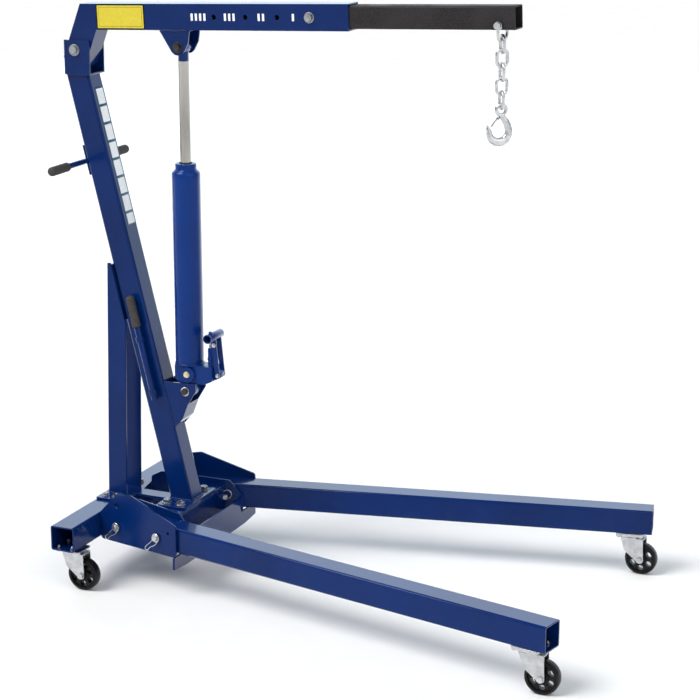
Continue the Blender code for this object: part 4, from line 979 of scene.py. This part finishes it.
class HOIST_OT_leg_pins(bpy.types.Operator):
    """Fits the fold and lock pins with their spring clips"""

    bl_idname = "hoist.leg_pins"
    bl_label = "Fit leg pins"

    lock_reach = 0.1432  # from the fold pin to the lock pin
    inner_face = 0.0430  # from the middle of the leg to the inner plate's far face

    def execute(self, context):
        wire = context.scene.hoist_fittings.clip_wire
        for name, side in SIDES.items():
            axis = np.array(joint(f"leg_fold_{name}")["axis"])
            outward = unit(axis * (1.0 if axis[1] * side > 0 else -1.0))
            for kind in ("pivot", "lock"):
                node = f"leg_{kind}_pin_{name}"
                self.pin(node, outward, wire)
            self.inner_end(name, side, outward, wire)
        return {"FINISHED"}

    def inner_end(self, name, side, outward, wire):
        """The lock pin's far end in the inner plate, with a split ring hanging through it."""
        axis_point = np.array(joint(f"leg_fold_{name}")["pos_m"])
        along = np.array([outward[1] * side, -outward[0] * side, 0.0])
        middle = axis_point + along * self.lock_reach
        face = middle - outward * self.inner_face
        body = body_of_node(f"leg_lock_pin_{name}")
        stub = [(0.0076, -0.0055), (0.0080, -0.0050), (0.0080, 0.0120), (0.0068, 0.0138)]
        stub = turned(stub, face, -outward, 32)
        add_piece(f"leg_lock_pin_end_{name}", [stub], "zinc_plate", body)
        t = np.linspace(0, 2 * pi * 1.9, 90)
        radius = 0.0125
        centre_of_ring = face - outward * 0.0085 + along * 0.006 + UP * 0.009
        ring = centre_of_ring + np.outer(np.cos(t), along) * radius + np.outer(np.sin(t), UP) * radius
        ring = ring - np.outer(t / t[-1] - 0.5, outward) * wire * 1.4
        ring = swept(ring, wire * 0.9, outward, 10)
        add_piece(f"leg_lock_ring_{name}", [ring], "chain_plate", body)

    def pin(self, node, outward, wire):
        """A pin along the leg's hinge line with a washer, and a wire clip that hangs from it."""
        low, high = box(node)
        middle = (low + high) / 2
        span = high - low
        half = self.half_length(span, outward, span[2] / 2)
        start = middle - outward * half
        body = body_of_node(node)
        length = 2 * half
        profile = [
            (0.0074, 0.0), (0.0080, 0.0010), (0.0080, length - 0.0010),
            (0.0080, length + 0.0030), (0.0068, length + 0.0046),
        ]
        disc = start + outward * (length - 0.0048)
        shells = [turned(profile, start, outward, 32), washer(disc, outward, 0.0079, 0.0128, 0.0022)]
        add_piece(f"{node}_finished", shells, "zinc_plate", body, [node])
        self.clip(f"{node}_clip", start + outward * (length + 0.0008), outward, wire, body)

    def half_length(self, span, outward, head):
        """Half the pin's length, from its box less what its round head adds across the hinge line."""
        lateral = abs(outward[0])
        return (span[1] - 2 * head * lateral) / (2 * abs(outward[1]))

    def clip(self, name, at, outward, wire, body):
        """A hairpin clip that hangs down and back: a straight leg and a waved leg joined by a loop."""
        down = unit(np.array([-0.72, 0.0, -0.70]))
        across = unit(np.cross(outward, down))
        t = np.linspace(0, 1, 46)
        straight = -0.014 + 0.050 * t
        loop_t = np.linspace(-pi / 2, pi / 2, 12)
        loop_a = 0.036 + 0.0058 * np.cos(loop_t)
        loop_b = 0.0058 * (1 + np.sin(loop_t))
        wave_a = 0.036 - 0.046 * t
        wave_b = 0.0116 - 0.0035 * np.sin(2.2 * pi * t) * (1 - t) + 0.0018 * np.sin(pi * t)
        a = np.concatenate([straight, loop_a[1:-1], wave_a])
        b = np.concatenate([np.zeros_like(t), loop_b[1:-1], wave_b])
        path = at + a[:, None] * down + b[:, None] * across + outward * 0.0016
        add_piece(name, [swept(path, wire, outward, 10)], "chain_plate", body)


class HOIST_OT_grips(bpy.types.Operator):
    """Moulds the ribbed rubber grips"""

    bl_idname = "hoist.grips"
    bl_label = "Mould grips"

    def execute(self, context):
        for name, side in SIDES.items():
            low, high = box(f"push_grip_{name}")
            middle = (low + high) / 2
            length = high[1] - low[1]
            end = np.array([middle[0], high[1] if side > 0 else low[1], middle[2]])
            self.grip(f"push_grip_{name}", end, -side * LEFT, length, (high[2] - low[2]) / 2)
        low, high = box("pump_handle_grip")
        mast_lean = mast_direction()
        radius = (high[1] - low[1]) / 2
        length = (high[2] - low[2] - 2 * radius * abs(mast_lean[0])) / mast_lean[2]
        top = (low + high) / 2 + mast_lean * length / 2
        self.grip("pump_handle_grip", top, -mast_lean, length, radius)
        return {"FINISHED"}

    def grip(self, node, end, axis, length, radius):
        """A sleeve between a domed end and a plain mouth.

        Its radius is r - 0.0009 (1 - |cos(11 pi s)|), with s from 0 to 1.
        """
        s = np.linspace(0.010, length - 0.007, 140)
        ribs = radius - 0.0009 + 0.0009 * np.abs(np.cos(pi * 11 * (s - s[0]) / (s[-1] - s[0])))
        dome = np.linspace(0.15, pi / 2, 10)
        rows = [(radius * 0.97 * np.sin(a), 0.0075 * (1 - np.cos(a))) for a in dome]
        rows += list(zip(ribs, s))
        rows += [(radius, length - 0.0055), (radius, length - 0.0012)]
        rows += [(radius - 0.0010, length - 0.0002), (0.0086, length - 0.0002)]
        sleeve = turned(rows, end, axis, 48)
        add_piece(f"{node}_finished", [sleeve], "grip_rubber", body_of_node(node), [node], sharp=50)


class HOIST_OT_welds(bpy.types.Operator):
    """Runs the weld beads"""

    bl_idname = "hoist.welds"
    bl_label = "Run weld beads"

    def execute(self, context):
        fittings = context.scene.hoist_fittings
        radius, pitch = fittings.weld, fittings.weld_pitch
        runs = {"base": self.base_runs(), "boom": self.boom_runs()}
        for body, lines in runs.items():
            root = body_of_node("mast") if body == "base" else "boom"
            shells = [weld_bead(a, b, radius * size, pitch, 40 + k) for k, (a, b, size) in enumerate(lines)]
            add_piece(f"{body}_welds", shells, "weld_paint", root, sharp=60)
        return {"FINISHED"}

    def base_runs(self):
        """Mast to foot, head to mast, braces to mast and feet, brackets to cross tube, lug to mast."""
        direction = mast_direction()
        lean = -direction[0] / direction[2]
        run = MAST_DEPTH / direction[2]
        foot_x = MAST_HIGH[0] - run
        half = MAST_HIGH[1]

        def rear(height):
            """Where the mast's rear face stands at a height."""
            return foot_x - (height - MAST_LOW[2]) * lean

        z = MAST_LOW[2]
        lines = [([rear(z) + run, -half, z], [rear(z) + run, half, z], 1.0)]
        lines.append(([rear(z), -half, z], [rear(z), half, z], 1.0))
        for s in (-1.0, 1.0):
            lines.append(([rear(z), s * half, z], [rear(z) + run, s * half, z], 1.0))
        z = MAST_HIGH[2]
        for s in (-1.0, 1.0):
            lines.append(([rear(z) + 0.002, s * half, z], [rear(z) + run - 0.002, s * half, z], 0.8))
        lines.append(([rear(z) + run, -half, z], [rear(z) + run, half, z], 0.8))
        brace_low, brace_high = box("rear_brace_right")
        saddle_top = box("brace_saddle")[1][2]
        inner = abs(brace_high[1])
        for s in (-1.0, 1.0):
            for k in range(5):
                top = saddle_top - 0.006 - k * 0.031
                bottom = top - 0.012
                start = [rear(top) - 0.002, s * inner, top]
                lines.append((start, [rear(bottom) - 0.002, s * inner, bottom], 0.75))
            y = s * (abs(brace_low[1]) + 0.0004)
            start = [brace_low[0] + 0.004, y, brace_low[2]]
            lines.append((start, [brace_low[0] + 0.050, y, brace_low[2]], 0.8))
        tube_low, tube_high = box("rear_cross_tube")
        for name, s in SIDES.items():
            for part in ("outer", "inner"):
                low, high = box(f"bracket_{part}_{name}")
                y = low[1] if s > 0 else high[1]
                start = [tube_high[0], y, tube_low[2] + 0.006]
                lines.append((start, [tube_high[0], y, tube_high[2] - 0.004], 0.85))
        low, high = box("ram_lug")
        for s in (-1.0, 1.0):
            a, b = low[2] + 0.004, high[2] - 0.010
            lines.append(([rear(a) + run + 0.0005, s * half, a], [rear(b) + run + 0.0005, s * half, b], 0.8))
        return lines

    def boom_runs(self):
        """The lug's two edges under the boom."""
        low, high = box("boom_lug")
        half = BOOM_HALF
        top_left = np.array([low[0] + 0.004, 0.0, high[2] - 0.0042])
        length = high[0] - low[0] - 0.008
        lines = []
        for s in (-1.0, 1.0):
            start = top_left + LEFT * s * half
            lines.append((start, start + BOOM_AXIS * length, 0.8))
        return lines


class HOIST_OT_plates(bpy.types.Operator):
    """Applies the blank yellow plate, the load ticks and the mast strip with its blank boxes"""

    bl_idname = "hoist.plates"
    bl_label = "Apply plates"

    def execute(self, context):
        place = (0.1440, 0.0345)
        border = self.boom_panel(*place, 0.0735, 0.0333, 0.00005, 0.0030)
        plate = self.boom_panel(*place, 0.0700, 0.0300, 0.00028, 0.0015)
        add_piece("boom_plate_border", [border], "plate_border", "boom")
        add_piece("boom_plate", [plate], "plate_yellow", "boom")
        line = self.boom_panel(*place, 0.0658, 0.0256, 0.00048, 0.0012)
        field = self.boom_panel(*place, 0.0648, 0.0246, 0.00068, 0.0012)
        add_piece("boom_plate_line", [line], "plate_line", "boom")
        add_piece("boom_plate_field", [field], "plate_yellow", "boom")
        first_group, group_pitch, tick_pitch = 0.37729, 0.0913, 0.0125
        ticks = []
        for group, count in enumerate((4, 3, 2, 1)):
            middle = first_group + group * group_pitch
            for k in range(count):
                ahead = middle + (k - (count - 1) / 2) * tick_pitch
                ticks.append(self.boom_panel(ahead, place[1], 0.0032, 0.0095, 0.00005, 0.0012))
        add_piece("boom_load_ticks", ticks, "decal_white", "boom")
        self.strip(context.scene.hoist_fittings.decals)
        return {"FINISHED"}

    def boom_panel(self, ahead, below, half_length, half_height, lift, corner):
        """A thin panel on the boom's right face, counted along from its pivot and down from its top face."""
        pivot = np.array(joint("boom_lift")["pos_m"])
        middle = pivot + BOOM_AXIS * ahead + BOOM_UP * (BOOM_TOP - below)
        middle = np.array([middle[0], -BOOM_HALF - lift, middle[2]])
        return panel(middle, BOOM_AXIS, BOOM_UP, half_length, half_height, 0.00030, corner)

    def strip(self, count):
        """White boxes at an even pitch down the mast's front face, on one long strip."""
        direction = mast_direction()
        out = np.cross(LEFT, direction)
        foot, head = 0.9640, 1.3385
        first_top, pitch, tall = 1.3323, 0.0482, 0.0412
        self.label("mast_strip", [(foot, head)], 0.0060, 0.0220, 0.00008, "strip_teal", direction, out)
        spans = []
        for k in range(count):
            top = first_top - k * pitch
            spans.append((max(top - tall, foot + 0.0030), top))
        self.label("mast_boxes", spans, 0.0050, 0.0176, 0.00030, "decal_white", direction, out)

    def label(self, name, spans, aside, half_width, lift, look, direction, out):
        panels = []
        for low, high in spans:
            middle = mast_front((low + high) / 2) + LEFT * aside + out * lift
            half_length = (high - low) / 2 / direction[2]
            panels.append(panel(middle, LEFT, direction, half_width, half_length, 0.00028, 0.0012))
        add_piece(name, panels, look, body_of_node("mast"))


class HOIST_OT_stage(bpy.types.Operator):
    """Lays the floor, sets the lights and aims the camera"""

    bl_idname = "hoist.stage"
    bl_label = "Set the stage"

    azimuth = radians(23.617)
    elevation = radians(15.326)
    camera_place = (2.8563, -4.8325, 2.1241)

    def execute(self, context):
        scene = context.scene
        floor = bpy.data.meshes.new("floor")
        size = 30.0
        corners = [(-size, -size, 0), (size, -size, 0), (size, size, 0), (-size, size, 0)]
        floor.from_pydata(corners, [], [(0, 1, 2, 3)])
        floor.materials.append(floor_finish())
        ground = bpy.data.objects.new("floor", floor)
        scene.collection.objects.link(ground)
        self.wall(scene, size * 0.96, size)
        world = bpy.data.worlds.new("studio")
        world.use_nodes = True
        sky = world.node_tree.nodes["Background"]
        sky.inputs["Color"].default_value = (0.94, 0.975, 1.0, 1.0)
        sky.inputs["Strength"].default_value = 0.43
        scene.world = world
        scene.view_settings.view_transform = "Standard"
        self.sun("key", (-0.75, -0.80, 1.35), 2.7, 32)
        self.sun("fill", (1.3, -0.6, 0.9), 0.9, 60)
        self.backdrop((-2.0, 9.0, 4.3), 24.0, 8.4, 580)
        lens = bpy.data.cameras.new("camera")
        lens.lens = 105.85
        lens.sensor_width = 36.0
        lens.clip_end = 200.0
        camera = bpy.data.objects.new("camera", lens)
        camera.location = (self.camera_place[0] + REAR, self.camera_place[1], self.camera_place[2])
        camera.rotation_euler = (pi / 2 - self.elevation, 0.0, self.azimuth)
        scene.collection.objects.link(camera)
        scene.camera = camera
        return {"FINISHED"}

    def wall(self, scene, radius, height):
        """A round wall far behind everything, seen only straight on: it casts no light and no shadow."""
        steps = 96
        t = np.linspace(0, 2 * pi, steps, endpoint=False)
        ring = np.stack([radius * np.cos(t), radius * np.sin(t)], axis=1)
        points = np.concatenate([np.c_[ring, np.full(steps, -0.01)], np.c_[ring, np.full(steps, height)]])
        faces = [(k, (k + 1) % steps, (k + 1) % steps + steps, k + steps) for k in range(steps)]
        mesh = bpy.data.meshes.new("wall")
        mesh.from_pydata(points.tolist(), [], faces)
        mesh.materials.append(wall_finish())
        wall = bpy.data.objects.new("wall", mesh)
        for ray in ("diffuse", "glossy", "shadow", "transmission"):
            setattr(wall, f"visible_{ray}", False)
        scene.collection.objects.link(wall)

    def sun(self, name, towards, strength, spread):
        """A broad distant light, like a far softbox."""
        lamp = bpy.data.lights.new(name, "SUN")
        lamp.energy = strength
        lamp.color = (1.0, 0.985, 0.965)
        lamp.angle = radians(spread)
        self.hang(name, lamp, towards, Vector((0.0, 0.0, 0.0)))

    def backdrop(self, place, width, height, power):
        """A pale panel of light behind the machine, for its upward faces to reflect."""
        lamp = bpy.data.lights.new("backdrop", "AREA")
        lamp.shape = "RECTANGLE"
        lamp.size, lamp.size_y, lamp.energy = width, height, power
        lamp.color = (0.62, 0.80, 1.0)
        made = self.hang("backdrop", lamp, place, Vector((0.0, 0.0, 0.6)))
        made.visible_camera = False

    def hang(self, name, lamp, place, target):
        made = bpy.data.objects.new(name, lamp)
        made.location = place
        made.rotation_euler = (target - Vector(place)).to_track_quat("-Z", "Y").to_euler()
        bpy.context.scene.collection.objects.link(made)
        return made


class HOIST_PT_panel(bpy.types.Panel):
    """Lists the hoist's settings and steps"""

    bl_idname = "HOIST_PT_panel"
    bl_label = "Folding engine hoist"
    bl_space_type = "VIEW_3D"
    bl_region_type = "UI"
    bl_category = "Hoist"

    def draw(self, context):
        layout = self.layout
        for group in (context.scene.hoist_paint, context.scene.hoist_fittings):
            for name in group.bl_rna.properties.keys():
                if name not in {"rna_type", "name"}:
                    layout.prop(group, name)
        for operator in OPERATORS:
            layout.operator(operator.bl_idname)


OPERATORS = (
    HOIST_OT_finishes, HOIST_OT_structure, HOIST_OT_wheels, HOIST_OT_chain, HOIST_OT_ram, HOIST_OT_bolts,
    HOIST_OT_leg_pins, HOIST_OT_grips, HOIST_OT_welds, HOIST_OT_plates, HOIST_OT_stage,
)
CLASSES = (HoistPaint, HoistFittings, *OPERATORS, HOIST_PT_panel)


def register():
    for made in CLASSES:
        bpy.utils.register_class(made)
    bpy.types.Scene.hoist_paint = PointerProperty(type=HoistPaint)
    bpy.types.Scene.hoist_fittings = PointerProperty(type=HoistFittings)


def unregister():
    del bpy.types.Scene.hoist_fittings
    del bpy.types.Scene.hoist_paint
    for made in reversed(CLASSES):
        bpy.utils.unregister_class(made)


def main():
    register()
    bpy.ops.hoist.finishes()
    bpy.ops.hoist.structure()
    bpy.ops.hoist.wheels()
    bpy.ops.hoist.chain()
    bpy.ops.hoist.ram()
    bpy.ops.hoist.bolts()
    bpy.ops.hoist.leg_pins()
    bpy.ops.hoist.grips()
    bpy.ops.hoist.welds()
    bpy.ops.hoist.plates()
    bpy.ops.hoist.stage()


if __name__ == "__main__":
    main()
